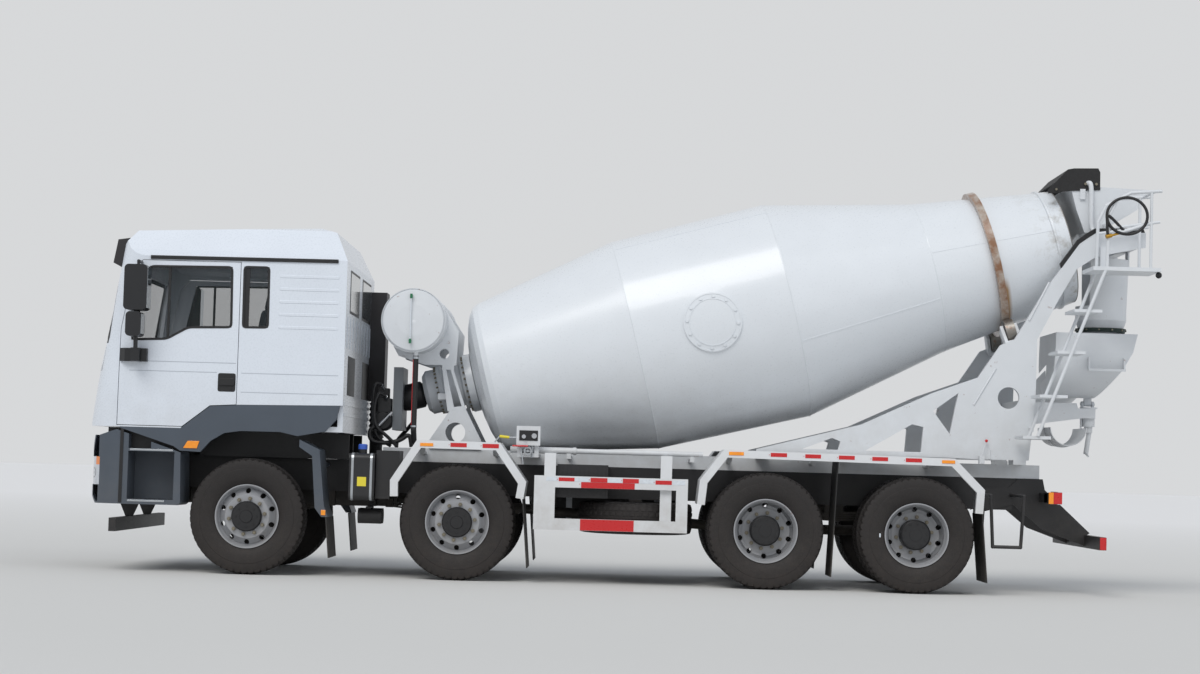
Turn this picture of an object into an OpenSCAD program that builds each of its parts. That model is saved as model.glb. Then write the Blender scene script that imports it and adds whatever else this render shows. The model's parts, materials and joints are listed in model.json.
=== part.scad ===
// Concrete mixer truck, four axles, cab forward, rear discharge.
// Lengths are in millimetres. X runs rearward, Y to the truck's right, Z up.
// Stations along X are measured from the first axle and moved to the middle of the truck at the end.

/* [Overall] */
// Width over the cab sides, side guards and rear tyres
truck_w = 2490; // [2450:10:2550]
// Cab front and bumper ahead of the first axle
front_overhang = 1490; // [1450:10:1520]
// Hopper rim behind the last axle
rear_overhang = 2270; // [2250:10:2300]

/* [Axles] */
// First to second steered axle
axle_2_at = 1960; // [1940:10:1980]
// First axle to the first driven axle
axle_3_at = 4830; // [4820:10:4850]
// First axle to the last axle
axle_4_at = 6230; // [6210:10:6250]
// Wheel centre from the middle of the truck, steered wheels
front_wheel_y = 1018; // [1005:1:1025]
// Outer twin wheel centre from the middle of the truck
twin_outer_y = 1090; // [1085:1:1095]
// Distance between the two wheels of a twin
twin_gap = 350; // [340:1:360]
// Kingpin centre inboard of the steered wheel centre
kingpin_offset = 100; // [95:1:105]

/* [Wheels] */
// Tyre outer radius
tyre_r = 542; // [530:1:545]
// Tyre section width
tyre_w = 300; // [285:1:305]
// Rim flange radius
rim_r = 298; // [290:1:302]
// Rim width over the flanges
rim_w = 260; // [250:1:266]
// Wheel bolts on each wheel
wheel_bolts = 10; // [6:1:12]
// Wheel bolt circle diameter
bolt_circle = 335; // [330:1:340]

/* [Chassis] */
// Outer face of a frame rail from the middle
rail_y = 430; // [420:1:440]
// Frame rail top above the ground
rail_top = 1095; // [1090:1:1098]
// Frame rail depth
rail_h = 305; // [280:5:310]
// Frame rail metal thickness
rail_t = 10; // [8:1:14]
// Frame rail flange width
rail_flange = 85; // [75:1:95]
// Depth of the mixer subframe that lies on the rails
sub_h = 130; // [110:5:135]

/* [Cab] */
// Cab floor underside above the ground
cab_floor = 1345; // [1342:1:1355]
// Cab wall and door thickness
cab_wall = 50; // [40:1:60]
// Cab hinge pin above the ground
cab_hinge_z = 1000; // [985:5:1010]
// Cab hinge pin radius
cab_pin_r = 25; // [20:1:30]
// Door gap all round
door_gap = 6; // [5:1:10]

/* [Drum] */
// Drum axis slope in degrees
drum_tilt = 14.6; // [14.2:0.1:14.8]
// Largest drum radius
drum_r = 1064; // [1040:1:1070]
// Drum mouth radius
mouth_r = 560; // [540:1:575]
// Drum support ring radius
ring_r = 722; // [715:1:725]
// Width of the support ring
ring_w = 70; // [60:1:80]
// Support roller radius
roller_r = 125; // [115:1:130]
// Angle of each support roller from straight below
roller_angle = 33; // [30:1:35]
// Water tank radius
tank_r = 304; // [280:1:310]
// Water tank length across the truck
tank_l = 1680; // [1600:10:1700]

/* [Hidden] */
$fn = 48;

// Clearance between faces that seat on each other
seat = 0.3;
// Small amount by which cuts run past a face
eps = 1;
// Middle of the truck from the first axle
middle_at = (axle_4_at + rear_overhang - front_overhang) / 2;
side_y = truck_w / 2;
sides = [-1, 1];
rail_bottom = rail_top - rail_h;
sub_top = rail_top + sub_h;
rail_front = -1300;
rail_rear = 7504;
kingpin_y = front_wheel_y - kingpin_offset;
bogie_mid = (axle_3_at + axle_4_at) / 2;
axle_z = tyre_r;
axle_tube_r = 75;

// Cab stations
cab_front = -front_overhang;
cab_rear = 870;
cab_hinge_x = cab_front + 110;
cab_side = 1240;
cab_corner = 300;
roof_top = 3271;
door_front = -1229;
door_rear = -119;
sill_z = 1357;

// Drum stations along its axis from the front flange: [distance, radius]
drum_x = 1956;
drum_z = 1873;
flange_s = 70;
flange_r = 285;
head_s = 58;
head_depth = 206;
head_r = 745;
cone_s = 1680;
cone_r = drum_r - 24;
belly_s = 3194;
neck_s = 4620;
neck_r = 745;
mouth_s = 5985;
ring_s = 5215;
drum_wall = 10;
neck_recess_s = 4900;

// Outline offset helpers: a band of even thickness along a path
function unit(v) = v / norm(v);
function left_of(a, b) = let (d = unit(b - a)) [-d[1], d[0]];
function path_normal(p, i) =
  let (n = len(p) - 1,
    a = i > 0 ? left_of(p[i - 1], p[i]) : left_of(p[0], p[1]),
    b = i < n ? left_of(p[i], p[i + 1]) : a)
  (a + b) / (1 + a * b);
function offset_path(p, t) = [for (i = [0:len(p) - 1]) p[i] + t * path_normal(p, i)];
function reversed(p) = [for (i = [len(p) - 1:-1:0]) p[i]];
function band(p, t) = concat(p, reversed(offset_path(p, t)));
// Closed outline drawn anticlockwise, shrunk by t
function shrunk(p, t) = let (n = len(p)) [for (i = [0:n - 1])
  let (a = left_of(p[(i + n - 1) % n], p[i]), b = left_of(p[i], p[(i + 1) % n])) p[i] + t * (a + b) / (1 + a * b)];

// Moves a shape drawn from the first axle to the truck's middle
module placed() {
  translate([-middle_at, 0, 0]) children();
}

// Extrudes a side-view outline from y1 to y2
module side_slab(points, y1, y2) {
  translate([0, y2, 0]) rotate([90, 0, 0]) linear_extrude(y2 - y1) polygon(points);
}

// Box between two corners
module block(a, b) {
  translate(a) cube(b - a);
}

// Cylinder along Y
module rod_y(x, z, r, y1, y2, f = 48) {
  translate([x, y1, z]) rotate([-90, 0, 0]) cylinder(r = r, h = y2 - y1, $fn = f);
}

// Cylinder along X
module rod_x(y, z, r, x1, x2, f = 48) {
  translate([x1, y, z]) rotate([0, 90, 0]) cylinder(r = r, h = x2 - x1, $fn = f);
}

// Rounded rectangle made of squares and circles
module soft_rect(w, h, r) {
  for (sx = sides, sy = sides) translate([sx * (w / 2 - r), sy * (h / 2 - r)]) circle(r = r, $fn = 24);
  square([w - 2 * r, h], center = true);
  square([w, h - 2 * r], center = true);
}

// Straight round tube between two points
module strut(a, b, r, f = 16) {
  d = b - a;
  translate(a)
    rotate([0, acos(d[2] / norm(d)), atan2(d[1], d[0])])
      cylinder(r = r, h = norm(d), $fn = f);
}

// Chain of tubes with welded corners, a little thicker than the tube
weld = 0.8;
module pipe(points, r, f = 16) {
  for (i = [0:len(points) - 2]) strut(points[i], points[i + 1], r, f);
  if (len(points) > 2)
    for (i = [1:len(points) - 2]) translate(points[i]) sphere(r = r + weld, $fn = 24);
}

// Both sides of the truck
module both_sides() {
  children();
  mirror([0, 1, 0]) children();
}

// Wheels and hubs

// Tyre section as rings of [distance from the wheel's middle, radius], half of it
module tyre(y) {
  half = tyre_w / 2;
  bead = rim_w / 2 - 14;
  rotate([-90, 0, 0])
    translate([0, 0, y])
      rotate_extrude($fn = 72)
        polygon([
          [rim_r - 8, -bead], [rim_r + 6, -bead - 6], [rim_r + 40, -half + 12], [tyre_r - 120, -half],
          [tyre_r - 52, -half + 4], [tyre_r - 22, -half + 13], [tyre_r - 4, -half + 36], [tyre_r, 0],
          [tyre_r - 4, half - 36], [tyre_r - 22, half - 13], [tyre_r - 52, half - 4], [tyre_r - 120, half],
          [rim_r + 40, half - 12], [rim_r + 6, bead + 6], [rim_r - 8, bead]]);
}

// Rims. Sections are lists of [radius, distance from the middle], drawn for the right side
hub_r = 140;
hub_barrel_r = 128;
disc_t = 14;
disc_r = 205;
spindle_r = 40;
hand_hole_r = 24;
hand_hole_at = 237;
rim_half = rim_w / 2;
front_face = 118;
knuckle_plate = 56;
knuckle_t = 20;

// Outside of a rim ring from its inboard flange to its outboard flange, centred on y
function rim_outside(y) = [
  [rim_r, y - rim_half], [rim_r, y - rim_half + 10], [rim_r - 10, y - rim_half + 12],
  [rim_r - 11, y - rim_half + 42], [rim_r - 26, y - rim_half + 62], [rim_r - 26, y + rim_half - 62],
  [rim_r - 11, y + rim_half - 42], [rim_r - 10, y + rim_half - 12], [rim_r, y + rim_half - 10],
  [rim_r, y + rim_half]];
// Inside of a rim ring on its outboard (d = 1) or inboard (d = -1) half, from the flange inward
function rim_inside(y, d) = [
  [rim_r - 10, y + d * rim_half], [rim_r - 20, y + d * (rim_half - 12)],
  [rim_r - 20, y + d * (rim_half - 42)], [rim_r - 36, y + d * (rim_half - 64)]];

// Hand holes through whatever lies between y1 and y2
module hand_holes(y1, y2) {
  for (i = [0:wheel_bolts - 1])
    rotate([0, (i + 0.5) * 360 / wheel_bolts, 0]) rod_y(hand_hole_at, 0, hand_hole_r, y1, y2, 24);
}

module for_side(s) {
  if (s > 0) children();
  else mirror([0, 1, 0]) children();
}

module turned(points, f = 72) {
  rotate([-90, 0, 0]) rotate_extrude($fn = f) polygon(points);
}

module front_rim(s) {
  w = front_wheel_y;
  f = w + front_face;
  b = kingpin_y + knuckle_plate + knuckle_t + 2;
  color("lightgray") for_side(s)
    difference() {
      turned(concat(rim_outside(w), rim_inside(w, 1), [
        [rim_r - 36, w + 60], [240, w + 76], [216, f - 12], [disc_r, f], [hub_r, f], [hub_r, f + 38],
        [hub_r - 10, f + 50], [0, f + 50], [0, f + 2], [spindle_r + seat, f + 2], [spindle_r + seat, b],
        [hub_barrel_r, b], [hub_barrel_r, f - disc_t], [disc_r - 6, f - disc_t], [208, f - disc_t - 10],
        [230, w + 64], [rim_r - 36, w + 46]], reversed(rim_inside(w, -1))));
      hand_holes(w, f);
    }
}

// Twin rims bolted face to face on one hub
twin_inner_y = twin_outer_y - twin_gap;
twin_face = twin_outer_y - 92;
axle_end_r = axle_tube_r - 15;
module twin_rims(s) {
  o = twin_outer_y;
  i = twin_inner_y;
  f = twin_face;
  color("lightgray") for_side(s)
    difference() {
      turned(concat(rim_outside(o), rim_inside(o, 1), [
        [rim_r - 36, o - 40], [236, f + 8], [disc_r, f], [hub_r, f], [hub_r, o + 40], [hub_r - 14, o + 54],
        [0, o + 54], [0, f - 40], [axle_end_r + seat, f - 40], [axle_end_r + seat, i - 40], [hub_r + 40, i - 40],
        [hub_r + 40, f - 90], [disc_r - 5, f - 2 * disc_t]], [[rim_r - 36, i + 52]], reversed(rim_inside(i, -1)),
        rim_outside(i), rim_inside(i, 1), [[rim_r - 36, i + 66], [disc_r + 12, f - disc_t],
        [236, f - disc_t + 6], [rim_r - 36, o - 54]], reversed(rim_inside(o, -1))));
      hand_holes(i, o);
    }
}

module twin_tyres(s) {
  tyre(s * twin_outer_y);
  tyre(s * twin_inner_y);
}

// Knuckle: spindle, kingpin through the beam eye, fork above and below the eye
eye_h = 110;
eye_r = 52;
kingpin_r = 25;
fork_gap = 2;
fork_t = 34;
module knuckle(s) {
  k = kingpin_y;
  fork_z = eye_h / 2 + fork_gap;
  top_z = fork_z + fork_t;
  color("dimgray") for_side(s) {
    translate([0, k, -top_z]) cylinder(r = kingpin_r, h = 2 * top_z);
    for (z = [-top_z, fork_z]) {
      difference() {
        translate([0, k, z]) cylinder(r = eye_r - 4, h = fork_t);
        translate([0, k, z - eps]) cylinder(r = kingpin_r - 5, h = fork_t + 2 * eps);
      }
      block([-eye_r + 4, k + 30, z], [eye_r - 4, k + knuckle_plate + knuckle_t, z + fork_t]);
    }
    block([-eye_r + 4, k + knuckle_plate, -top_z], [eye_r - 4, k + knuckle_plate + knuckle_t, top_z]);
    rod_y(0, 0, spindle_r, k + knuckle_plate + 4, front_wheel_y + front_face, 60);
  }
}

module at_axle(x) {
  placed() translate([x, 0, axle_z]) children();
}

// Suspension and axles

// One leaf pack seen from the side: leaves of falling length
module leaf_pack(x, z, spans, up) {
  for (i = [0:len(spans) - 1])
    side_slab(band([
      [x - spans[i] / 2, z + up * i * 17 + 46 * pow(spans[i] / spans[0], 2)],
      [x - spans[i] / 4, z + up * i * 17 + 12 * pow(spans[i] / spans[0], 2)],
      [x, z + up * i * 17],
      [x + spans[i] / 4, z + up * i * 17 + 12 * pow(spans[i] / spans[0], 2)],
      [x + spans[i] / 2, z + up * i * 17 + 46 * pow(spans[i] / spans[0], 2)]], 16), rail_y - 50, rail_y + 40);
}

module steer_beam(x) {
  beam_end = kingpin_y - 20;
  eye_in = kingpin_y - eye_r - 12;
  translate([x, 0, 0]) {
    difference() {
      union() {
        rotate([90, 0, 90]) translate([0, 0, -45]) linear_extrude(90)
          polygon(concat(
            [[-beam_end, axle_z - 50], [-eye_in, axle_z - 50], [-620, axle_z - 150], [620, axle_z - 150],
              [eye_in, axle_z - 50], [beam_end, axle_z - 50]],
            [[beam_end, axle_z + 50], [600, axle_z - 50], [-600, axle_z - 50], [-beam_end, axle_z + 50]]));
        for (s = sides) translate([0, s * kingpin_y, axle_z - eye_h / 2]) cylinder(r = eye_r, h = eye_h);
      }
      for (s = sides)
        translate([0, s * kingpin_y, axle_z - eye_h]) cylinder(r = kingpin_r + seat, h = 2 * eye_h);
    }
    both_sides() block([-70, rail_y - 55, axle_z - 50], [70, rail_y + 45, 580]);
  }
}

module drive_axle(x) {
  spindle = twin_face - 42;
  rod_y(x, axle_z, axle_tube_r - 15, -spindle, spindle, 60);
  rod_y(x, axle_z, axle_tube_r + 15, -(twin_inner_y - 60), twin_inner_y - 60, 60);
  translate([x, 0, axle_z]) sphere(r = 215, $fn = 48);
  rod_x(0, axle_z, 110, x - 290, x, 40);
  both_sides() block([x - 60, rail_y - 55, axle_z], [x + 60, rail_y + 45, 738]);
}

module axles() {
  color("dimgray") placed() {
    for (x = [0, axle_2_at]) {
      steer_beam(x);
      both_sides() {
        leaf_pack(x, 611, [1440, 1100, 760], -1);
        for (e = [-700, 700])
          block([x + e - 35, rail_y - 50, 650], [x + e + 35, rail_y + 40, rail_bottom]);
      }
    }
  }
}

// Driven axles with their springs and shafts
module bogie() {
  color("dimgray") placed() {
    for (x = [axle_3_at, axle_4_at]) drive_axle(x);
    both_sides() {
      leaf_pack(bogie_mid, 690, [1460, 1200, 900, 600], -1);
      block([bogie_mid - 90, rail_y - 50, 706], [bogie_mid + 90, rail_y + 40, rail_bottom]);
    }
    rod_y(bogie_mid, 742, 45, -rail_y, rail_y, 40);
    // Propeller shaft from the gearbox to the first driven axle
    strut([1303, 0, 740], [axle_3_at - 290, 0, axle_z], 48, 40);
    strut([axle_3_at + 100, 0, axle_z], [axle_4_at - 290, 0, axle_z], 48, 40);
  }
}

// Frame and what hangs on it

module rail() {
  difference() {
    block([rail_front, rail_y - rail_flange, rail_bottom], [rail_rear, rail_y, rail_top]);
    block([rail_front - eps, rail_y - rail_flange - eps, rail_bottom + rail_t],
      [rail_rear + eps, rail_y - rail_t, rail_top - rail_t]);
    // Rear end cut up to the tail
    side_slab([[7242, rail_bottom - eps], [7242, 841], [rail_rear + eps, 1000], [rail_rear + eps, rail_bottom - eps]],
      0, side_y);
  }
}

cross_members = [1450, 2650, 3700, 4500, 5530, 6700, 7150];
module chassis_frame() {
  color("black") placed() {
    both_sides() {
      rail();
      // Bracket and pin of the cab hinge
      block([rail_front - 130, rail_y - 40, cab_hinge_z - 60], [rail_front + eps, rail_y, cab_hinge_z + 60]);
      rod_y(cab_hinge_x, cab_hinge_z, cab_pin_r, rail_y - eps, rail_y + 86);
      // Plate down to the underrun beam
      side_slab([[-1290, 980], [-1290, 700], [-1337, 630], [-1272, 480], [-1213, 480], [-1147, 630], [-1100, 700],
        [-1100, 980]], rail_y - 2, rail_y + 12);
      // Rear cab rest
      block([740, rail_y - 70, rail_top], [800, rail_y - 10, cab_floor - seat]);
    }
    for (x = cross_members)
      block([x - 40, -rail_y + rail_t, 860], [x + 40, rail_y - rail_t, 1060]);
    block([rail_front - 60, -rail_y + 40, 860], [rail_front + 40, rail_y - 40, 1000]);
    block([740, -rail_y + 70, rail_top - 60], [800, rail_y - 70, rail_top + 60]);
    // Front underrun beam
    block([-1275, -1200, 370], [-1210, 1200, 495]);
  }
}

// Front bumper and the step wells at its ends
bumper_pts = [[cab_front + 34, 1262], [cab_front, 1110], [cab_front + 10, 700], [cab_front + 60, 628],
  [cab_front + 130, 628], [cab_front + 130, 640], [cab_front + 68, 644], [cab_front + 26, 704],
  [cab_front + 16, 1108], [cab_front + 50, 1262]];
lamp_deep = 40;
step_out = side_y - 15;
step_in = 760;
module bumper() {
  color("darkslategray") placed() {
    difference() {
      union() {
        intersection() {
          side_slab(bumper_pts, -step_out, step_out);
          translate([0, 0, 600]) linear_extrude(700) bumper_plan(0);
        }
        both_sides() {
          step_well();
          // Mount on the frame's front bracket
          block([cab_front + 12, rail_y - 35, cab_hinge_z - 30], [rail_front - 130, rail_y - 5, cab_hinge_z + 40]);
        }
      }
      // Air inlet in the middle and the lamp openings
      for (z = [720, 860])
        block([cab_front - 50, -560, z], [cab_front + 120, 560, z + 100]);
      both_sides() lamp_block(seat, lamp_deep);
    }
  }
}

// Plan of the bumper pulled in by i
module bumper_plan(i) {
  r = 300;
  translate([cab_front + r, -step_out + i]) square([1000, 2 * (step_out - i)]);
  translate([cab_front + i, -step_out + r]) square([r + 700, 2 * (step_out - r)]);
  for (s = sides) translate([cab_front + r, s * (step_out - r)]) circle(r = r - i, $fn = 60);
}

// Side step: two treads between cheeks, in an outline that follows the door sill above
step_pts = [[-1400, 640], [-1400, 1262], [-1226, 1318], [-625, 1118], [-612, 651], [-640, 628], [-1360, 628]];
module step_well() {
  difference() {
    intersection() {
      side_slab(step_pts, step_in, step_out);
      translate([0, 0, 600]) linear_extrude(760) bumper_plan(0);
    }
    block([-1110, 900, 676], [-680, side_y, 1120]);
    block([-1110, 900, 1146], [-900, side_y, 1400]);
    block([-1340, step_in - eps, 700], [-700, step_in + 100, 1400]);
  }
}

// Headlamp block at a bumper corner, grown by g
module lamp_block(g, deep) {
  intersection() {
    block([cab_front - 10, 860 - g, 800 - g], [-1390 + g, step_out + 10, 1060 + g]);
    difference() {
      translate([0, 0, 700]) linear_extrude(500) bumper_plan(g > 0 ? -5 : 3);
      translate([0, 0, 700 - eps]) linear_extrude(500 + 2 * eps) bumper_plan(deep);
    }
  }
}

tail_lamps = [700, 1050];
module lamps() {
  color("orange") placed() {
    both_sides() {
      lamp_block(0, lamp_deep - seat);
      // Tail lamp clusters
      block([7560 + seat, tail_lamps[0], 860], [7600, tail_lamps[1], 980]);
    }
  }
}

module engine() {
  color("gray") placed() {
    block([-780, -320, 640], [360, 320, 1290]);
    block([360, -190, 650], [1100, 190, 1010]);
    rod_x(0, 740, 90, 1100, 1300, 40);
    // Radiator and fan shroud, and the engine mounts on the rails
    block([-1120, -335, 690], [-960, 335, 1240]);
    block([-960, -280, 800], [-780, 280, 1150]);
    both_sides() block([-300, 320, 900], [-220, rail_y - rail_t, 960]);
  }
}

// Mudguards: [front foot, shoulder front, top front, top rear, shoulder rear, rear foot]
guard_2 = [[1336, 767], [1332, 918], [1570, 1296], [2343, 1292], [2597, 934], [2573, 774]];
guard_34 = [[4186, 775], [4208, 998], [4424, 1286], [6568, 1262], [6851, 979], [6837, 757]];
guard_bar_t = 72;
guard_in = 680;
stay_z = 1180;
module mudguards() {
  color("white") placed() {
    both_sides() {
      for (g = [guard_2, guard_34]) {
        side_slab(band(g, -guard_bar_t), side_y - 60, side_y);
        side_slab(band(g, -8), guard_in, side_y - 60);
      }
      // Stays from the subframe with a clamp under the blade: [x, blade height there]
      for (t = [[1585, 1296], [2280, 1292], [4500, 1285], [5300, 1276], [6400, 1263]]) {
        rod_y(t[0], stay_z, 22, rail_y + seat, guard_in + 80, 24);
        block([t[0] - 25, guard_in + 20, stay_z], [t[0] + 25, guard_in + 80, t[1] - 4]);
      }
    }
  }
}

// Dark quarter behind the first wheel on its arm
module wheel_quarters() {
  color("darkslategray") placed() both_sides() {
    side_slab([[478, 1268], [667, 1178], [725, 659], [764, 558], [703, 557], [640, 640], [600, 1120], [478, 1200]],
      800, side_y - 15);
    rod_y(645, 1040, 25, rail_y + seat, 801, 24);
  }
}

// Rubber flaps: [top x, top z, bottom x, bottom z, outer edge y]
flap_t = 10;
flap_in = 655;
flap_table = [[740, 557.3, 777, 179, side_y - 16], [2563, 774 - seat, 2618, 138, side_y - 8],
  [5490, 1265.6, 5440, 133, side_y - 61], [6827, 757 - seat, 6880, 120, side_y - 8]];
module rubber_flaps() {
  color("black") placed() {
    for (f = flap_table)
      both_sides() side_slab([[f[0], f[1]], [f[0] + flap_t, f[1]], [f[2] + flap_t, f[3]], [f[2], f[3]]], flap_in, f[4]);
    hopper_guard();
  }
}

// Sheet over the front of the hopper: cheeks bolted outside its walls, a hood between them
module hopper_guard() {
  both_sides()
    side_slab([[7523, 3849], [7523, 3888], [7713, 4088], [7771, 4099], [8003, 4105], [8023, 4067], [8024, 3895],
      [7752, 3880]], hopper_y + seat, hopper_y + 10);
  side_slab(band([[7590, 3958], [7713, 4088], [7771, 4099]], -10), -hopper_y - seat - eps, hopper_y + seat + eps);
}

module tanks() {
  color("dimgray") placed() {
    // Fuel tank on the right
    rotate([90, 0, 90]) translate([830, 840, 2720]) linear_extrude(1340) soft_rect(600, 560, 70);
    // Exhaust silencer and air filter on the right
    rotate([90, 0, 90]) translate([820, 900, 900]) linear_extrude(400) soft_rect(600, 460, 60);
    // Additive tank on the left with its filler
    mirror([0, 1, 0]) {
      rotate([90, 0, 90]) translate([930, 939, 942]) linear_extrude(236) soft_rect(500, 438, 50);
      translate([1052, 1050, 1150]) cylinder(r = 40, h = 85);
      block([960, rail_y, 850], [1150, 690, 900]);
      block([960, 470, 1040], [1150, 690, 1080]);
    }
    // Their brackets on the frame rail
    for (x = [2900, 3850]) block([x - 30, rail_y, 800], [x + 30, 545, 860]);
    for (x = [980, 1220]) block([x - 30, rail_y, 820], [x + 30, 530, 900]);
    // Air tanks on the left
    for (y = [-880, -720]) rod_x(y, 572, 72, 1010, 1230, 40);
    block([1080, -900, 638], [1130, -640, 660]);
    block([1080, -670, 640], [1130, -640, 870]);
  }
}

module battery_box() {
  color("black") placed() {
    block([2880, -1130, 800], [3355, -rail_y, 1110]);
    for (i = [0:5]) block([2900 + i * 80, -1138, 820], [2930 + i * 80, -1130, 1090]);
    // Cover beside the additive tank
    side_slab([[1185, 740], [1318, 740], [1318, 900], [1400, 1060], [1400, 1190], [1185, 1190]], -1100, -700);
    block([1200, -701, 900], [1290, -rail_y, 1000]);
  }
}

spare_at = [3620, -615, 620];
module spare_wheel() {
  color("black") placed() {
    translate(spare_at) rotate([90, 0, 0]) {
      tyre(0);
      turned(concat(rim_outside(0), rim_inside(0, 1), [[rim_r - 36, 20], [0, 20], [0, 6], [rim_r - 36, 6]],
        reversed(rim_inside(0, -1))));
      rod_y(0, 0, 30, -18, 10, 24);
    }
    // Carrier arm and screw from the frame rail
    translate([spare_at[0], spare_at[1], spare_at[2] + 5]) cylinder(r = 22, h = rail_bottom - spare_at[2] - 20);
    block([spare_at[0] - 60, -660, rail_bottom - 20], [spare_at[0] + 60, -rail_y + 60, rail_bottom - seat]);
  }
}

// Side guard frame: bars around one wide window, and two hangers
module side_guard() {
  difference() {
    block([2672, side_y - 45, 500], [4098, side_y, 1000]);
    block([2866, side_y - 50, 606], [3990, side_y + eps, 893]);
    block([2710, side_y - 50, 540], [2830, side_y + eps, 850]);
  }
  for (x = [2761, 3842]) block([x, side_y - 80, 960], [x + 106, side_y - 45 + eps, 1211]);
  for (x = [2790, 3870]) block([x, rail_y, 1130], [x + 50, side_y - 45, 1190]);
}
module side_guards() {
  color("white") placed() both_sides() side_guard();
}

module rear_bumper() {
  color("black") placed() {
    // Underrun bar
    difference() {
      block([7940, -1150, 450], [8000, 1150, 570]);
      block([7952, -1160, 462], [8010, 1160, 558]);
    }
    both_sides() {
      side_slab([[6975, rail_bottom - 20], [7250, 845], [7541, 608], [7950, 462], [7950, 560], [7990, 590], [7553, 991],
        [7532, 1094], [7300, 1094], [7200, 1000], [6975, 1000]], rail_y, rail_y + 12);
      block([7500, rail_y + 12, 880], [7560, tail_lamps[1], 960]);
      // Tube hoop behind the last wheel
      pipe([[6920, rail_y + seat, 930], [6920, 1150, 930], [6945, 1150, 455], [7205, 1150, 455], [7230, 1150, 930],
        [7230, rail_y + 12 + seat, 930]], 16);
    }
  }
}

// Mixer body frame on the rails
sub_y = rail_y;
sub_w = 90;
sub_front = 1180;
stand_y = 450;
stand_top = 2030;
pipe_y = 970;
module subframe() {
  color("white") placed() {
    both_sides() {
      block([sub_front, sub_y - sub_w, rail_top], [7500, sub_y, sub_top]);
      // Drum drive stand: a tapered plate with a round hole, a box frame above
      difference() {
        side_slab([[1624, 1307], [1624, sub_top], [2122, sub_top], [2122, 1312], [1965, 1611], [1808, 1588]],
          stand_y - 60, stand_y);
        rod_y(1871, 1385, 96, stand_y - 70, stand_y + 10);
      }
      side_slab([[1790, 1586], [1965, 1611], [1830, 2010], [1800, 2010], [1925, 1640], [1850, 1630],
        [1760, 2010], [1725, 2010]], stand_y - 60, stand_y);
      side_slab([[1725, 1990], [1840, 1990], [1840, stand_top], [1725, stand_top]], stand_y - 60, stand_y);
    }
    for (x = [1500, 2000, 3000, 4200])
      block([x - 50, -sub_y + sub_w, rail_top + 10], [x + 50, sub_y - sub_w, sub_top - 20]);
    // Water pipe along the left
    rod_x(-pipe_y, 1234, 24, 2430, 4240, 24);
    for (x = [2960, 4120]) {
      block([x, -pipe_y, 1160], [x + 40, -rail_y, 1195]);
      block([x, -pipe_y - 20, 1160], [x + 40, -pipe_y + 20, 1212]);
    }
  }
}

tank_at = [1465, 2433];
outlet_x = 1497;
outlet_y = 790;
outlet_z = tank_at[1] - tank_r - 30;
module water_tank() {
  color("white") placed() {
    translate([tank_at[0], 0, tank_at[1]]) rotate([-90, 0, 0])
      rotate_extrude($fn = 72)
        polygon([[0, -tank_l / 2 - 24], [150, -tank_l / 2 - 18], [tank_r - 20, -tank_l / 2],
          [tank_r, -tank_l / 2 + 22], [tank_r, tank_l / 2 - 22], [tank_r - 20, tank_l / 2],
          [150, tank_l / 2 + 18], [0, tank_l / 2 + 24]]);
    // Saddle plates down to the stand
    both_sides()
      difference() {
        side_slab([[1250, 2200], [1300, 2110], [1560, stand_top], [1860, stand_top], [1876, 2360], [1745, 2560], [1500, 2433]],
          stand_y - 60, stand_y);
        rod_y(tank_at[0], tank_at[1], tank_r + seat, stand_y - 70, stand_y + 10, 72);
        rod_y(1742, 2140, 48, stand_y - 70, stand_y + 10);
      }
    // Filler and outlet
    translate([outlet_x, -outlet_y, outlet_z]) cylinder(r = 22, h = 60, $fn = 24);
  }
}

// Drum gearbox and hydraulic motor on the drum axis
module on_axis() {
  translate([drum_x, 0, drum_z]) rotate([0, 90 - drum_tilt, 0]) children();
}
module drum_drive() {
  color("white") placed() {
    on_axis() rotate_extrude($fn = 60)
      polygon([[0, -seat], [240, -seat], [240, -40], [200, -60], [200, -230], [236, -240], [236, -280],
        [215, -290], [215, -390], [170, -430], [90, -440], [90, -640], [0, -640]]);
    // Feet to the stand
    both_sides() block([1690, 150, 1700], [1780, stand_y - 60, 1760]);
  }
  color("gray") placed() {
    block([1250, -260, 1400], [1330, 260, 2000]);
  }
}

hose_r = 27;
bellows_r = 80;
module hoses() {
  color("black") placed() {
    // Water hose from the tank's outlet to the subframe
    pipe([[outlet_x, -outlet_y, outlet_z - seat], [outlet_x, -outlet_y, 1400], [outlet_x, -outlet_y + 90, 1290],
      [outlet_x, -rail_y + 40, sub_top + hose_r + seat]], hose_r, 24);
    // Air intake bellows from the filter up to the cab's duct
    translate([cab_rear + 5 + bellows_r, duct_y, 1130 + seat])
      rotate_extrude($fn = 48)
        polygon(concat([[0, 0], [bellows_r - 14, 0], [bellows_r - 14, 193]],
          [for (i = [0:12]) [i % 2 == 0 ? bellows_r : bellows_r - 14, 200 + i * 29]],
          [[bellows_r - 14, 556], [bellows_r - 14, duct_z - 1130 - 2 * seat], [0, duct_z - 1130 - 2 * seat]]));
  }
}

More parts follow.
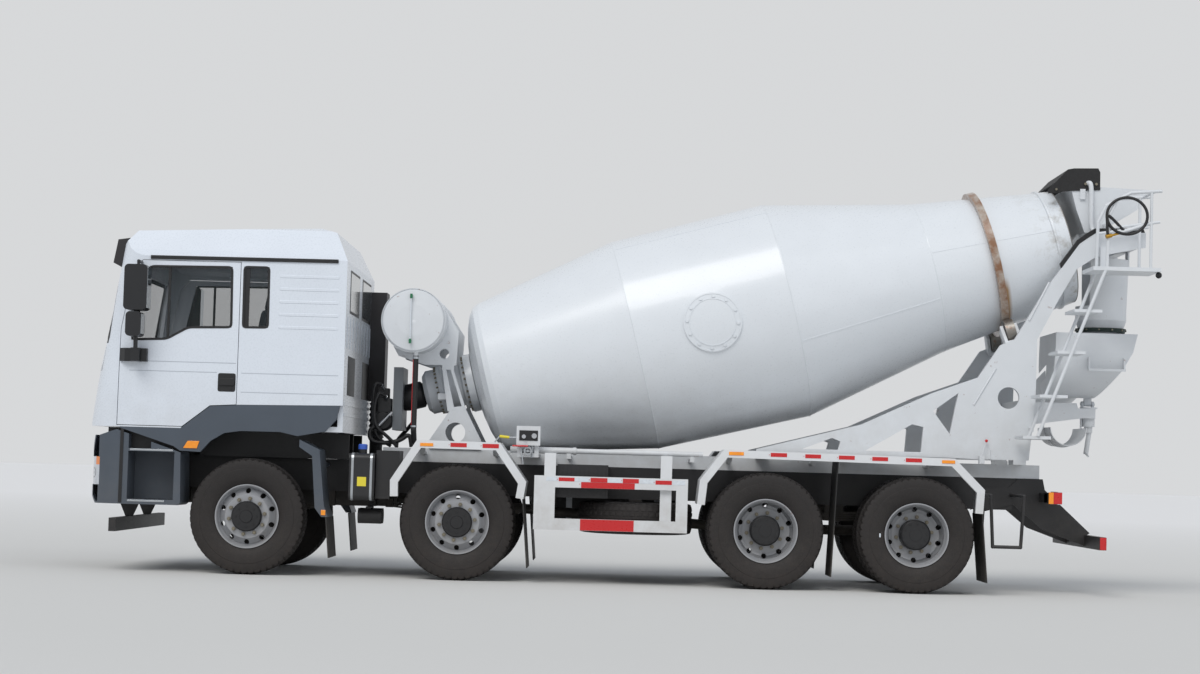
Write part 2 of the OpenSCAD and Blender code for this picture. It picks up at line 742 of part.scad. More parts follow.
// Rear frame: side plates, long braces, arms to the hopper, base and cross beams
plate_y1 = 590;
plate_y2 = 650;
module rear_frame() {
  color("white") placed() {
    both_sides() {
      difference() {
        side_slab([[6580, 1275], [6850, sub_top + 43], [7356, sub_top + 43], [7411, 1847], [7417, 2425], [7615, 2811],
          [7781, 3108], [7968, 3236], [8440, 3337], [8440, 3479], [7964, 3464], [7805, 3353], [7488, 2904],
          [7201, 2419], [7069, 2362], [6861, 2047], [6427, 1886], [5755, 1567], [4759, 1305], [4759, sub_top + 43],
          [5100, sub_top + 43]], plate_y1, plate_y2);
        rod_y(7154, 1859, 103, plate_y1 - eps, plate_y2 + eps);
        side_slab([[5200, 1320], [5539, 1320], [5560, 1400], [5480, 1432]], plate_y1 - eps, plate_y2 + eps);
        side_slab([[5799, 1320], [6330, 1320], [6347, 1560], [6240, 1583]], plate_y1 - eps, plate_y2 + eps);
        side_slab([[6437, 1715], [6600, 1500], [6675, 1893]], plate_y1 - eps, plate_y2 + eps);
      }
      // Base between the subframe and the plate
      for (x = [4800, 5600, 6500, 7250])
        block([x - 40, sub_y - 60, sub_top], [x + 80, plate_y2, sub_top + 43]);
    }
    block([7300, -plate_y1, 2150], [7400, plate_y1, 2300]);
    block([8330, -plate_y1, 3345], [8420, plate_y1, 3440]);
    // Roller brackets
    for (s = sides) roller_bracket(s);
    chute_beam();
    block([7300, -plate_y1, 1600], [7400, plate_y1, 1846]);
  }
}

roller_w = 90;
roller_pin_r = 30;
module at_roller(s) {
  on_axis()
    rotate([0, 0, s * roller_angle])
      translate([ring_r + roller_r + seat, 0, ring_s])
        children();
}
module roller_bracket(s) {
  at_roller(s) {
    translate([0, 0, -roller_w / 2 - 40]) cylinder(r = roller_pin_r, h = roller_w + 80);
    for (z = [-roller_w / 2 - 38, roller_w / 2 + 8])
      translate([-50, -60, z]) cube([roller_r + 60, 120, 30]);
    translate([roller_r + 10, -60, -roller_w / 2 - 38]) cube([30, 120, roller_w + 76]);
  }
}

module roller(s) {
  color("silver") placed() at_roller(s)
    difference() {
      translate([0, 0, -roller_w / 2]) cylinder(r = roller_r, h = roller_w, $fn = 60);
      translate([0, 0, -roller_w / 2 - eps]) cylinder(r = roller_pin_r + seat, h = roller_w + 2 * eps);
    }
}

// Charging hopper over the mouth and the collecting funnel below it
funnel_x = 8155;
hopper_y = 500;
hopper_rear = axle_4_at + rear_overhang;
module hoppers() {
  color("white") placed() {
    // Hopper box with its spout into the drum mouth
    difference() {
      union() {
        side_slab([[7740, 3927], [8014, 3924], [hopper_rear, 3910], [hopper_rear - 116, 3711], [8014, 3480], [7881, 3480],
          [7800, 3700]], -hopper_y, hopper_y);
        side_slab([[7875, 3495], [8014, 3481], [7800, 3180], [7700, 3250]], -200, 200);
      }
      side_slab([[7755, 3990], [8014, 3990], [hopper_rear - 20, 3990], [hopper_rear - 130, 3716], [8008, 3490],
        [7888, 3490], [7812, 3700]], -hopper_y + 12, hopper_y - 12);
      side_slab([[7893, 3500], [8000, 3500], [8002, 3478], [7790, 3170], [7690, 3240], [7712, 3256], [7884, 3486]],
        -192, 192);
    }
    // Collecting funnel
    translate([funnel_x, 0, 0]) difference() {
      rotate_extrude($fn = 60) polygon([[205, 2545], [246, 2660], [246, 2760], [262, 3260], [254, 3260], [238, 2760],
        [238, 2664], [197, 2549]]);
      block([-300, -300, 2800], [-150, 300, 3300]);
    }
    stored_trough();
    // Hopper legs on the arms
    both_sides() block([8050, hopper_y - 11, 3400], [8110, plate_y1, 3560]);
    // Strap from the funnel to the cross beam
    block([8400, -60, 3180], [8415, 60, 3345]);
  }
}

ladder_y = [-1200, -720];
ladder_foot = [7339, 1495];
ladder_head = [7946, 3078];
tread_z = [1480, 1868, 2282, 2675];
module ladder() {
  color("white") placed() {
    slope = (ladder_head[0] - ladder_foot[0]) / (ladder_head[1] - ladder_foot[1]);
    for (y = ladder_y)
      strut([ladder_foot[0], y, ladder_foot[1]], [ladder_head[0], y, ladder_head[1] - 10], 16);
    for (z = tread_z) {
      x = ladder_foot[0] + slope * (z - ladder_foot[1]);
      block([x - 130, ladder_y[0] + 10, z - 14], [x + 130, ladder_y[1] - 10, z + 14]);
    }
    block([7825, ladder_y[0] - 16, 3056], [8459, ladder_y[1] + 16, 3092]);
    for (y = ladder_y) {
      pipe([[7955, y, 3080], [7965, y, 3560], [8040, y, 3720], [8170, y, 3790], [8458, y, 3814]], 16);
      pipe([[8362, y, 3080], [8362, y, 3800]], 14);
      pipe([[7965, y, 3450], [8443, y, 3523]], 14);
    }
    pipe([[8400, ladder_y[0], 3811], [8400, ladder_y[1], 3811]], 14);
    // Supports from the rear frame
    block([8000, ladder_y[1], 3056], [8060, -plate_y2, 3092]);
    block([8000, -plate_y2 - 30, 3056], [8060, -plate_y2, 3330]);
    block([7350, ladder_y[1] - 10, 1540], [7384, -plate_y2, 1580]);
  }
}

module control_box() {
  color("white") placed() {
    block([2490, -1150, 1275], [2712, -1020, 1455]);
    for (x = [2500, 2660]) block([x, -1100, 1165], [x + 40, -1060, 1276]);
    block([2500, -1100, 1165], [2700, -rail_y, 1200]);
  }
}

// Cab

// Side outline pulled in by i
function cab_side_pts(i) = [
  [cab_front + 10 + i, cab_floor + i], [cab_front + i, cab_floor + 20 + i], [-1448 + i, 1857], [-1388 + i, 2103],
  [-1268 + i, 2840], [-1235 + i, 3060 - i / 2], [-1130 + i / 2, 3195 - i], [580, roof_top - i],
  [740 - i / 2, 3225 - i], [cab_rear - i, 2947 - i / 2], [cab_rear - i, cab_floor + i]];
// Half outline seen from the front, pulled in by i
function cab_front_pts(i) = [
  [-cab_side + i, cab_floor + i], [-cab_side + i, 2945], [-cab_side + 60 + i, 3010 - i / 2], [-1010 + i, 3240 - i],
  [-900, roof_top + 10 - i], [900, roof_top + 10 - i], [1010 - i, 3240 - i], [cab_side - 60 - i, 3010 - i / 2],
  [cab_side - i, 2945], [cab_side - i, cab_floor + i]];

// Plan with its front corners rounded, leaning back with the windscreen and a little ahead of the side outline
corner_lean = 8.45;
corner_ahead = 40;
module cab_plan(i) {
  r = cab_corner;
  translate([cab_front - corner_ahead, 0, cab_floor]) rotate([0, corner_lean, 0])
    translate([0, 0, -1000]) linear_extrude(4000) {
      translate([r, -cab_side + i]) square([2700 - r, 2 * (cab_side - i)]);
      translate([i, -cab_side + r]) square([r, 2 * (cab_side - r)]);
      for (s = sides) translate([r, s * (cab_side - r)]) circle(r = r - i, $fn = 60);
    }
}

module cab_block(i) {
  intersection() {
    side_slab(cab_side_pts(i), -cab_side, cab_side);
    rotate([90, 0, 90]) translate([0, 0, cab_front - eps]) linear_extrude(cab_rear - cab_front + 2 * eps)
      polygon(cab_front_pts(i));
    cab_plan(i);
  }
}

module cab_wall_shell() {
  difference() {
    cab_block(0);
    cab_block(cab_wall);
  }
}

// Door outline, shrunk by g
function door_pts(g) = [
  [door_front + g, sill_z + g], [-617 - g / 2, sill_z + g], [-364 - g / 2, 1557 + g], [door_rear - g, 1572 + g],
  [door_rear - g, 2908 - g], [-1040 + g / 2, 2908 - g], [-1130 + g, 2800 - g / 2], [door_front + g, 2260]];
door_window = [[-1124, 2154], [-791, 2168], [-593, 2281], [-190, 2292], [-200, 2860], [-972, 2850]];
quarter_window = [[-88, 2295], [150, 2299], [145, 2866], [-92, 2866]];

module cab_cuts(g) {
  // Windscreen
  rotate([90, 0, 90]) translate([0, 0, cab_front - eps]) linear_extrude(500)
    polygon([[-1110 + g, 2125 + g], [1110 - g, 2125 + g], [1060 - g, 2835 - g], [-1060 + g, 2835 - g]]);
  // Quarter windows
  side_slab([for (p = quarter_window) [p[0] + (p[0] < 0 ? g : -g), p[1] + (p[1] < 2500 ? g : -g)]],
    -cab_side - eps, cab_side + eps);
  // Rear windows
  for (s = sides)
    block([cab_rear - 200, min(s * 150, s * 900) + g, 2500 + g], [cab_rear + eps, max(s * 150, s * 900) - g, 2860 - g]);
}

module cab_shell() {
  color("white") placed() {
    difference() {
      cab_wall_shell();
      side_slab(door_pts(0), -cab_side - eps, cab_side + eps);
      cab_cuts(0);
      arch_cut();
    }
    // Lip behind each door's rear edge, which the door shuts against
    both_sides() {
      block([door_rear - 21, cab_side - cab_wall - 12, 1600], [-100, cab_side - cab_wall - seat, 2850]);
      block([door_rear, cab_side - cab_wall - 12, 1600], [-100, cab_side - cab_wall + eps, 2850]);
    }
    // Hinge arms under the floor
    both_sides()
      difference() {
        union() {
          side_slab([[cab_hinge_x - 20, cab_hinge_z - 50], [cab_hinge_x + 60, cab_hinge_z - 40],
            [-930, cab_floor - 2], [-930, cab_floor + 10], [-1040, cab_floor + 10], [-1040, cab_floor - 2],
            [cab_hinge_x - 36, cab_hinge_z + 25]], rail_y + 20, rail_y + 80);
        }
        rod_y(cab_hinge_x, cab_hinge_z, cab_pin_r + seat, rail_y, rail_y + 100);
      }
  }
}

// Air duct on the back of the cab
duct_y = 1090;
duct_z = 1702;

// Wheel arch band on the cab side
arch_line = [[-634, cab_floor - 2], [-620, 1358.5], [-366, 1559], [-85, 1577], [cab_rear + eps, 1594]];
trim_line = [[-631.5, cab_floor - seat], [-618.5, 1354.5], [-364, 1556.5], [-119, 1571.5], [-100, 1575.5], [842, 1592.8]];
module arch_cut() {
  both_sides()
    side_slab(concat(arch_line, [[cab_rear + eps, cab_floor - 2]]), cab_side - cab_wall - eps, cab_side + eps);
}

module cab_trim() {
  color("darkslategray") placed() {
    both_sides() {
      side_slab(concat(trim_line, [[813, 1460],
        [714, 1350], [456, 1300], [296, 1334], [-76, 1333], [-224, 1310], [-351, 1232], [-441, 1128], [-630, 1135],
        [-690, 1175], [-1200, 1336], [-1200, cab_floor - seat]]),
        cab_side - cab_wall - eps + seat, cab_side - seat);
      // Black drip rail over the door
      side_slab([[-963, 2920], [780, 2926], [780, 2944], [-963, 2938]], cab_side + seat, cab_side + 12);
    }
    // Sun visor over the windscreen
    side_slab([[-1355, 2885], [-1268 - seat, 2840], [-1235 - seat, 3060], [-1198, 3108], [-1205, 3122], [-1316, 3105]],
      -1060, 1060);
  }
  color("black") placed() {
    // Intake duct up the back of the cab
    block([cab_rear + seat, duct_y - 140, duct_z], [cab_rear + 5 + 2 * bellows_r, duct_y + 140, 2816]);
  }
}

module cab_glass() {
  color("lightblue", 0.4) placed() {
    intersection() {
      difference() {
        cab_block(12);
        cab_block(20);
      }
      cab_cuts(seat);
    }
  }
}

module dashboard() {
  color("dimgray") placed() {
    intersection() {
      side_slab([[-1500, 1700], [-1100, 1640], [-1040, 1900], [-1080, 2060], [-1300, 2100], [-1500, 2100]], -1100, 1100);
      cab_block(cab_wall + seat);
    }
    // Engine tunnel
    block([-1100, -330, cab_floor + cab_wall], [cab_rear - cab_wall, 330, 1640]);
    // Steering column and wheel, left-hand drive
    strut([-1060, -600, 1880], [-890, -600, 2010], 24);
    translate([-880, -600, 2020]) rotate([0, -52, 0]) {
      rotate_extrude($fn = 48) translate([205, 0]) circle(r = 16, $fn = 16);
      for (a = [90, 210, 330]) rotate([0, 0, a]) translate([0, -14, -8]) cube([200, 28, 16]);
      translate([0, 0, -16]) cylinder(r = 50, h = 32);
    }
  }
}

seat_y = 640;
module seat_one(y) {
  translate([0, y, 0]) {
    block([-520, -240, cab_floor + cab_wall + seat], [-80, 240, 1760]);
    side_slab([[-560, 1760], [-560, 1850], [-100, 1870], [-60, 1790], [-60, 1760]], -260, 260);
    side_slab([[-105, 1850], [-70, 1765], [-10, 1765], [130, 2480], [40, 2480]], -250, 250);
    side_slab([[45, 2480], [125, 2480], [160, 2680], [80, 2680]], -140, 140);
  }
}
module seats() {
  color("dimgray") placed() for (s = sides) seat_one(s * seat_y);
}

// Depth over which the door takes the wall, round the front corner too
door_deep = 120;
module door_panel(s) {
  intersection() {
    difference() {
      cab_block(0);
      cab_block(cab_wall);
    }
    side_slab(door_pts(door_gap), s < 0 ? -cab_side - eps : cab_side - door_deep,
      s < 0 ? -cab_side + door_deep : cab_side + eps);
  }
}
module door(s) {
  color("white") placed()
    difference() {
      door_panel(s);
      side_slab(door_window, -cab_side - 2 * eps, cab_side + 2 * eps);
    }
}
module door_glass(s) {
  color("lightblue", 0.4) placed()
    side_slab(shrunk(door_window, seat), s < 0 ? -cab_side + 12 : cab_side - 20,
      s < 0 ? -cab_side + 20 : cab_side - 12);
}

// Mirror head, lower mirror and arms; drawn for the right side
mirror_w = 210;
mirror_reach = 260;
mirror_out = cab_side + mirror_reach;
module mirror_set() {
  y0 = cab_side + seat;
  // Plane of the arms, a little outside the heads' middle
  arm_y = mirror_out - mirror_w / 2 - 5;
  translate([-1050, mirror_out - mirror_w / 2, 2631]) rotate([90, 0, 0])
    translate([0, 0, -mirror_w / 2]) linear_extrude(mirror_w) soft_rect(212, 422, 40);
  translate([-1060, mirror_out - mirror_w / 2, 2291]) rotate([90, 0, 0])
    translate([0, 0, -mirror_w / 2]) linear_extrude(mirror_w) soft_rect(139, 228, 40);
  block([-1075, arm_y - 30, 2400], [-1035, arm_y + 10, 2425]);
  pipe([[-1050, y0, 2880], [-1050, arm_y, 2880], [-1050, arm_y, 2830]], 14);
  pipe([[-1050, arm_y, 2180], [-1050, arm_y, 2050]], 20);
  translate([0, 0, 1952]) linear_extrude(122)
    polygon([[door_front + 8, y0], [door_front + 62, y0 + 54], [-1090, y0 + 62], [-1090, arm_y + 20],
      [-1010, arm_y + 20], [-1010, y0 + 62], [-960, y0 + 55], [-960, y0]]);
}
module mirrors(s) {
  color("black") placed()
    if (s > 0) mirror_set();
    else mirror([0, 1, 0]) mirror_set();
}

// Drum

module drum_outline(grow) {
  head = [for (a = [90:-15:0]) [head_s + head_depth * (1 - sin(a)), (head_r + grow) * cos(a)]];
  polygon(concat(
    [[0, 0], [flange_r, 0], [flange_r, flange_s], [240, flange_s]],
    [for (i = [2:len(head) - 1]) [head[i][1], head[i][0]]],
    [[cone_r + grow, cone_s], [drum_r + grow, belly_s], [neck_r + grow, neck_s],
      [ring_neck_r(ring_s - ring_w / 2), ring_s - ring_w / 2], [ring_r, ring_s - ring_w / 2],
      [ring_r, ring_s + ring_w / 2], [ring_neck_r(ring_s + ring_w / 2), ring_s + ring_w / 2],
      [mouth_r + 18, mouth_s - 155], [mouth_r + 34, mouth_s - 148], [mouth_r + 34, mouth_s - 128],
      [mouth_r + 16, mouth_s - 120], [mouth_r, mouth_s],
      [mouth_r - drum_wall, mouth_s], [ring_neck_r(neck_recess_s) - drum_wall, neck_recess_s], [0, neck_recess_s]]));
}
function ring_neck_r(s) = neck_r - (neck_r - mouth_r - 18) * (s - neck_s) / (mouth_s - 155 - neck_s);

manhole_s = 2419;
manhole_r = 265;
module drum() {
  color("white") placed() on_axis() {
    rotate_extrude($fn = 96) drum_outline(0);
    // Manhole cover, curved with the shell
    intersection() {
      translate([0, 0, manhole_s]) rotate([90, 0, 0]) cylinder(r = manhole_r, h = drum_r + 100, $fn = 60);
      rotate_extrude($fn = 96)
        polygon([[cone_r - 30, cone_s], [cone_r + 12, cone_s], [drum_r + 12, belly_s], [drum_r - 30, belly_s]]);
    }
  }
}

// Discharge chute

// The chute turns on an upright pin through the fixed beam's end and tips on a pin across it
swing_x = 8050;
swing_pin_r = 40;
beam_y = 90;
beam_top = 1846;
beam_end = 8100;
seat_top = 1796;
tip_y = 60;
tip_z = 1845;
tip_pin_r = 14;

// Fixed beam from the rear frame, with the stored extension trough under it
module chute_beam() {
  difference() {
    side_slab([[7400, 1614], [7400, beam_top], [7915, beam_top], [7930, seat_top], [beam_end, seat_top],
      [beam_end, 1700], [7980, 1700]], -beam_y, beam_y);
    translate([swing_x, 0, 1600]) cylinder(r = swing_pin_r + seat, h = 400);
  }
  // Cradle for the spare trough
  half_pipe(store_x, store_z, store_r + 12, 12 - seat, -20, 20);
  block([store_x - store_r - 12, -20, store_z - eps], [store_x - store_r - seat, 20, 1655]);
  block([store_x + store_r + seat, -20, store_z - eps], [store_x + store_r + 12, 20, 1702]);
}
store_x = 7793;
store_z = 1600;
store_r = 178;
module stored_trough() {
  half_pipe(store_x, store_z, store_r, 8, -330, 330);
}

// Open trough along Y
module half_pipe(x, z, r, t, y1, y2) {
  difference() {
    rod_y(x, z, r, y1, y2, 60);
    rod_y(x, z, r - t, y1 - eps, y2 + eps, 60);
    block([x - 2 * r, y1 - eps, z], [x + 2 * r, y2 + eps, z + 2 * r]);
  }
}

module chute_swivel() {
  color("white") placed() {
    translate([swing_x, 0, 1560]) cylinder(r = swing_pin_r, h = seat_top - 1560 + 1);
    translate([swing_x, 0, 1620]) cylinder(r = 62, h = 80 - seat);
    translate([0, 0, seat_top + seat]) {
      translate([swing_x, 0, 0]) cylinder(r = 85, h = 14);
      block([swing_x - 65, -20, 0], [swing_x + 65, tip_y + 30, 14]);
    }
    for (x = [swing_x - 62, swing_x + 42])
      difference() {
        union() {
          block([x, tip_y - 26, seat_top + 10], [x + 20, tip_y + 26, tip_z]);
          rod_x(tip_y, tip_z, 26, x, x + 20);
        }
        rod_x(tip_y, tip_z, tip_pin_r + seat, x - eps, x + 21);
      }
    // Screw jack and crank
    strut([swing_x + 10, 0, 1570], [swing_x - 20, 0, 1350], 24);
    strut([swing_x - 20, 0, 1360], [swing_x - 20, -120, 1330], 10);
  }
}

scoop_r = 430;
scoop_z = 2330;
scoop_x = 8030;
chute_t = 8;
function scoop_pts(i, top) = [[7640 + i, top], [8427 - i, top], [8385 - i, 2340], [8279 - i, 2147], [8090 - i, 1900 + i],
  [7620 + i, 1900 + i]];
module scoop_form(i, top) {
  intersection() {
    side_slab(scoop_pts(i, top), -scoop_r, scoop_r);
    rotate([90, 0, 90]) translate([0, scoop_z, 7500]) linear_extrude(1100) {
      circle(r = scoop_r - i, $fn = 60);
      translate([-scoop_r + i, 0]) square([2 * (scoop_r - i), 400]);
    }
  }
}
module trough_run(r) {
  translate([7855, 0, 2160]) rotate([-99, 0, 0]) cylinder(r = r, h = 1180, $fn = 60);
}
module chute() {
  color("white") placed() {
    difference() {
      union() {
        scoop_form(0, 2515);
        difference() {
          trough_run(240);
          translate([7855, 0, 2160]) rotate([-9, 0, 0]) block([-300, -10, 0], [300, 1300, 300]);
        }
      }
      scoop_form(chute_t, 2600);
      trough_run(240 - chute_t);
    }
    // Handle frame and stiffener on the closed side
    for (x = [7950, 8290]) block([x, -scoop_r - 30, 2160], [x + 16, -scoop_r + 40, 2280]);
    block([7950, -scoop_r - 46, 2150], [8306, -scoop_r - 30, 2172]);
    // Lug and tipping pin
    block([swing_x - 36, tip_y - 24, tip_z], [swing_x + 36, tip_y + 24, 1908]);
    rod_x(tip_y, tip_z, 24, swing_x - 36, swing_x + 36);
    rod_x(tip_y, tip_z, tip_pin_r, swing_x - 70, swing_x + 70);
  }
}

chassis_frame();
bumper();
wheel_quarters();
lamps();
engine();
axles();
bogie();
mudguards();
rubber_flaps();
tanks();
battery_box();
spare_wheel();
side_guards();
rear_bumper();
subframe();
water_tank();
drum_drive();
hoses();
rear_frame();
hoppers();
ladder();
control_box();
cab_shell();
cab_trim();
cab_glass();
dashboard();
seats();
door(-1);  // door_left
door(1);  // door_right
door_glass(-1);  // door_glass_left
door_glass(1);  // door_glass_right
mirrors(-1);  // mirror_left
mirrors(1);  // mirror_right
drum();
roller(-1);  // roller_left
roller(1);  // roller_right
chute_swivel();
chute();
at_axle(0) knuckle(-1);  // knuckle_1_left
at_axle(0) knuckle(1);  // knuckle_1_right
at_axle(axle_2_at) knuckle(-1);  // knuckle_2_left
at_axle(axle_2_at) knuckle(1);  // knuckle_2_right
at_axle(0) tyre(-front_wheel_y);  // tyre_1_left
at_axle(0) tyre(front_wheel_y);  // tyre_1_right
at_axle(axle_2_at) tyre(-front_wheel_y);  // tyre_2_left
at_axle(axle_2_at) tyre(front_wheel_y);  // tyre_2_right
at_axle(axle_3_at) twin_tyres(-1);  // tyres_3_left
at_axle(axle_3_at) twin_tyres(1);  // tyres_3_right
at_axle(axle_4_at) twin_tyres(-1);  // tyres_4_left
at_axle(axle_4_at) twin_tyres(1);  // tyres_4_right
at_axle(0) front_rim(-1);  // rim_1_left
at_axle(0) front_rim(1);  // rim_1_right
at_axle(axle_2_at) front_rim(-1);  // rim_2_left
at_axle(axle_2_at) front_rim(1);  // rim_2_right
at_axle(axle_3_at) twin_rims(-1);  // rims_3_left
at_axle(axle_3_at) twin_rims(1);  // rims_3_right
at_axle(axle_4_at) twin_rims(-1);  // rims_4_left
at_axle(axle_4_at) twin_rims(1);  // rims_4_right
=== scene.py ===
import bmesh
import bpy
import json
import math
from mathutils import Matrix, Vector


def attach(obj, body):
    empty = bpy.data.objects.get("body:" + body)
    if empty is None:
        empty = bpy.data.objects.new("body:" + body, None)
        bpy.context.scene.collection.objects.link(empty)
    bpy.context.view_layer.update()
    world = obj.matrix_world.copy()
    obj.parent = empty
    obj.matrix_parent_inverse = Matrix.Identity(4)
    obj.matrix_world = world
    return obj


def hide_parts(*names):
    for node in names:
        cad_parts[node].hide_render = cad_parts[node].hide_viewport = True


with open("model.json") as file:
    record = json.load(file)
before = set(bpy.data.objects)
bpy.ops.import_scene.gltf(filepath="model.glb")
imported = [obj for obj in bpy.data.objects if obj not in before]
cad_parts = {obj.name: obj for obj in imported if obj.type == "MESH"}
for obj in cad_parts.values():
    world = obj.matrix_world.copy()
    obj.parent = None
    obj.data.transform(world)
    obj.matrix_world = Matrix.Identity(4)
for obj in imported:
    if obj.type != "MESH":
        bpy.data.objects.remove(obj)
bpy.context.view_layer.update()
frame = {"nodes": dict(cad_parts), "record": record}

# Stations are in millimetres from the first axle, as in the part's source
MIDDLE = 3505.0
TAU = 2 * math.pi
ACROSS = Vector((0, 1, 0))
UPRIGHT = (0, 0, 1)


def at(x, y, z):
    """Place in metres, from a station, a distance from the middle and a height in millimetres."""
    return Vector(((x - MIDDLE) / 1000, y / 1000, z / 1000))


def spoke(angle, first, second):
    """Unit vector turned by an angle from the first direction towards the second."""
    return first * math.cos(angle) + second * math.sin(angle)


def srgb(r, g, b):
    out = []
    for c in (r, g, b):
        c = c / 255
        out.append(c / 12.92 if c <= 0.04045 else ((c + 0.055) / 1.055) ** 2.4)
    return (*out, 1.0)


# The drum: its tilted axis, its stations along that axis and its radii there

TILT = math.radians(14.6)
AXIS = Vector((math.cos(TILT), 0, math.sin(TILT)))
UP = Vector((-math.sin(TILT), 0, math.cos(TILT)))
DRUM_FOOT = at(1956, 0, 1873)
BELLY_FROM, BELLY_TO, NECK_FROM, NECK_TO, MOUTH = 1680, 3194, 4620, 5830, 5985
RING_FROM, RING_TO = 5176, 5254
FOOT_R, DRUM_R, NECK_R, MOUTH_R = 1040, 1064, 745, 560
WALL = [(BELLY_FROM, FOOT_R), (BELLY_TO, DRUM_R), (NECK_FROM, NECK_R), (NECK_TO, MOUTH_R + 18)]


def on_drum(s, radius, angle):
    """Point on the drum, from millimetres along its axis, radius and angle from its top."""
    return DRUM_FOOT + AXIS * (s / 1000) + spoke(angle, UP, ACROSS) * (radius / 1000)


def drum_radius(s):
    for (s1, r1), (s2, r2) in zip(WALL, WALL[1:]):
        if s1 <= s <= s2:
            return r1 + (r2 - r1) * (s - s1) / (s2 - s1)
    return WALL[-1][1]


# Materials

class Graph:
    """A node tree, with short ways to add its nodes and join them."""

    def __init__(self, tree):
        self.nodes, self.links = tree.nodes, tree.links

    def join(self, value, socket):
        """Link a socket to another, or set it to a plain value."""
        if isinstance(value, bpy.types.NodeSocket):
            self.links.new(value, socket)
        else:
            socket.default_value = value

    def fill(self, node, values):
        for name, value in values.items():
            self.join(value, node.inputs[name])

    def noise(self, scale, detail=4.0, rough=0.55):
        n = self.nodes.new("ShaderNodeTexNoise")
        self.fill(n, {"Scale": scale, "Detail": detail, "Roughness": rough, "Vector": self.coord})
        return n.outputs[0]

    def math(self, op, *values, clamp=False):
        n = self.nodes.new("ShaderNodeMath")
        n.operation = op
        n.use_clamp = clamp
        for socket, value in zip(n.inputs, values):
            self.join(value, socket)
        return n.outputs[0]

    def times(self, a, b):
        return self.math("MULTIPLY", a, b)

    def above(self, value, limit):
        return self.math("GREATER_THAN", value, limit)

    def below(self, value, limit):
        return self.math("LESS_THAN", value, limit)

    def vector(self, op, *values):
        n = self.nodes.new("ShaderNodeVectorMath")
        n.operation = op
        for socket, value in zip(n.inputs, values):
            self.join(value, socket)
        return n.outputs[1 if op in ("DOT_PRODUCT", "LENGTH") else 0]

    def remap(self, value, low, high, to_low=0.0, to_high=1.0):
        n = self.nodes.new("ShaderNodeMapRange")
        self.fill(n, {"From Min": low, "From Max": high, "To Min": to_low, "To Max": to_high, "Value": value})
        return n.outputs["Result"]

    def mix(self, factor, a, b):
        n = self.nodes.new("ShaderNodeMix")
        n.data_type = "RGBA"
        for socket, value in ((n.inputs["Factor"], factor), (n.inputs[6], a), (n.inputs[7], b)):
            self.join(value, socket)
        return n.outputs[2]

    def place(self):
        """The surface's place along X, Y and Z, in metres."""
        n = self.nodes.new("ShaderNodeSeparateXYZ")
        self.join(self.coord, n.inputs[0])
        return n.outputs


def new_material(name):
    m = bpy.data.materials.new(name)
    m.use_nodes = True
    g = Graph(m.node_tree)
    g.coord = g.nodes.new("ShaderNodeTexCoord").outputs["Object"]
    return m, g, g.nodes["Principled BSDF"].inputs


DUST = srgb(150, 140, 126)
RUST = srgb(122, 66, 34)


def surface(name, color, rough, metal=0.0, vary=0.06, scale=3.0, dust=0.0, dust_top=1.2, dust_low=0.1,
            bump=0.0, bump_scale=60.0, coat=0.0, dust_color=DUST, extra=None):
    """Paint, metal or rubber, uneven in colour and gloss, with dust from dust_top down to dust_low."""
    m, g, shader = new_material(name)
    wide = g.noise(scale)
    dark = tuple(c * (1 - vary) for c in color[:3]) + (1.0,)
    light = tuple(min(1.0, c * (1 + vary)) for c in color[:3]) + (1.0,)
    col = g.mix(g.remap(wide, 0.3, 0.7), dark, light)
    if dust > 0:
        height = g.remap(g.place()["Z"], dust_top, dust_low)
        patch = g.remap(g.noise(scale * 2.2, 6.0, 0.65), 0.32, 0.72, 0.25, 1.0)
        amount = g.math("MULTIPLY", g.times(height, patch), dust, clamp=True)
        col = g.mix(amount, col, dust_color)
    if extra is not None:
        col = extra(g, col)
    g.join(col, shader["Base Color"])
    fine = g.noise(bump_scale, 3.0, 0.5)
    g.join(g.remap(fine, 0.25, 0.75, max(0.02, rough - 0.06), min(1.0, rough + 0.08)), shader["Roughness"])
    g.join(metal, shader["Metallic"])
    if coat:
        g.join(coat, shader["Coat Weight"])
        g.join(0.12, shader["Coat Roughness"])
    if bump:
        b = g.nodes.new("ShaderNodeBump")
        g.join(bump, b.inputs["Strength"])
        g.join(0.002, b.inputs["Distance"])
        g.join(fine, b.inputs["Height"])
        g.join(b.outputs["Normal"], shader["Normal"])
    return m


def along_drum(g):
    """Distance along the drum axis in metres and radius from it, as sockets."""
    away = g.vector("SUBTRACT", g.coord, DRUM_FOOT)
    return g.vector("DOT_PRODUCT", away, AXIS), g.vector("LENGTH", g.vector("CROSS_PRODUCT", away, AXIS))


def drum_marks(g, col):
    """Rust on the support ring with a thin streak below it, and cement stains round the mouth."""
    s, r = along_drum(g)
    low = g.above(s, RING_FROM / 1000)
    high = g.below(s, RING_TO / 1000)
    outer = g.above(r, 0.668)
    ring = g.times(g.times(low, high), outer)
    patch = g.remap(g.noise(9.0, 6.0, 0.7), 0.35, 0.62, 0.1, 1.0)
    steel = g.mix(patch, srgb(186, 178, 168), srgb(132, 92, 62))
    col = g.mix(ring, col, steel)
    place = g.place()
    streak = g.times(g.above(s, RING_TO / 1000), g.remap(s, 5.31, 5.27))
    under = g.times(g.below(place["Y"], -0.3), g.remap(place["Z"], 3.02, 2.9))
    col = g.mix(g.times(streak, under), col, srgb(158, 118, 62))
    near = g.remap(s, 5.55, 5.98)
    stain = g.remap(g.noise(7.0, 6.0, 0.7), 0.5, 0.7)
    return g.mix(g.times(near, stain), col, srgb(168, 164, 156))


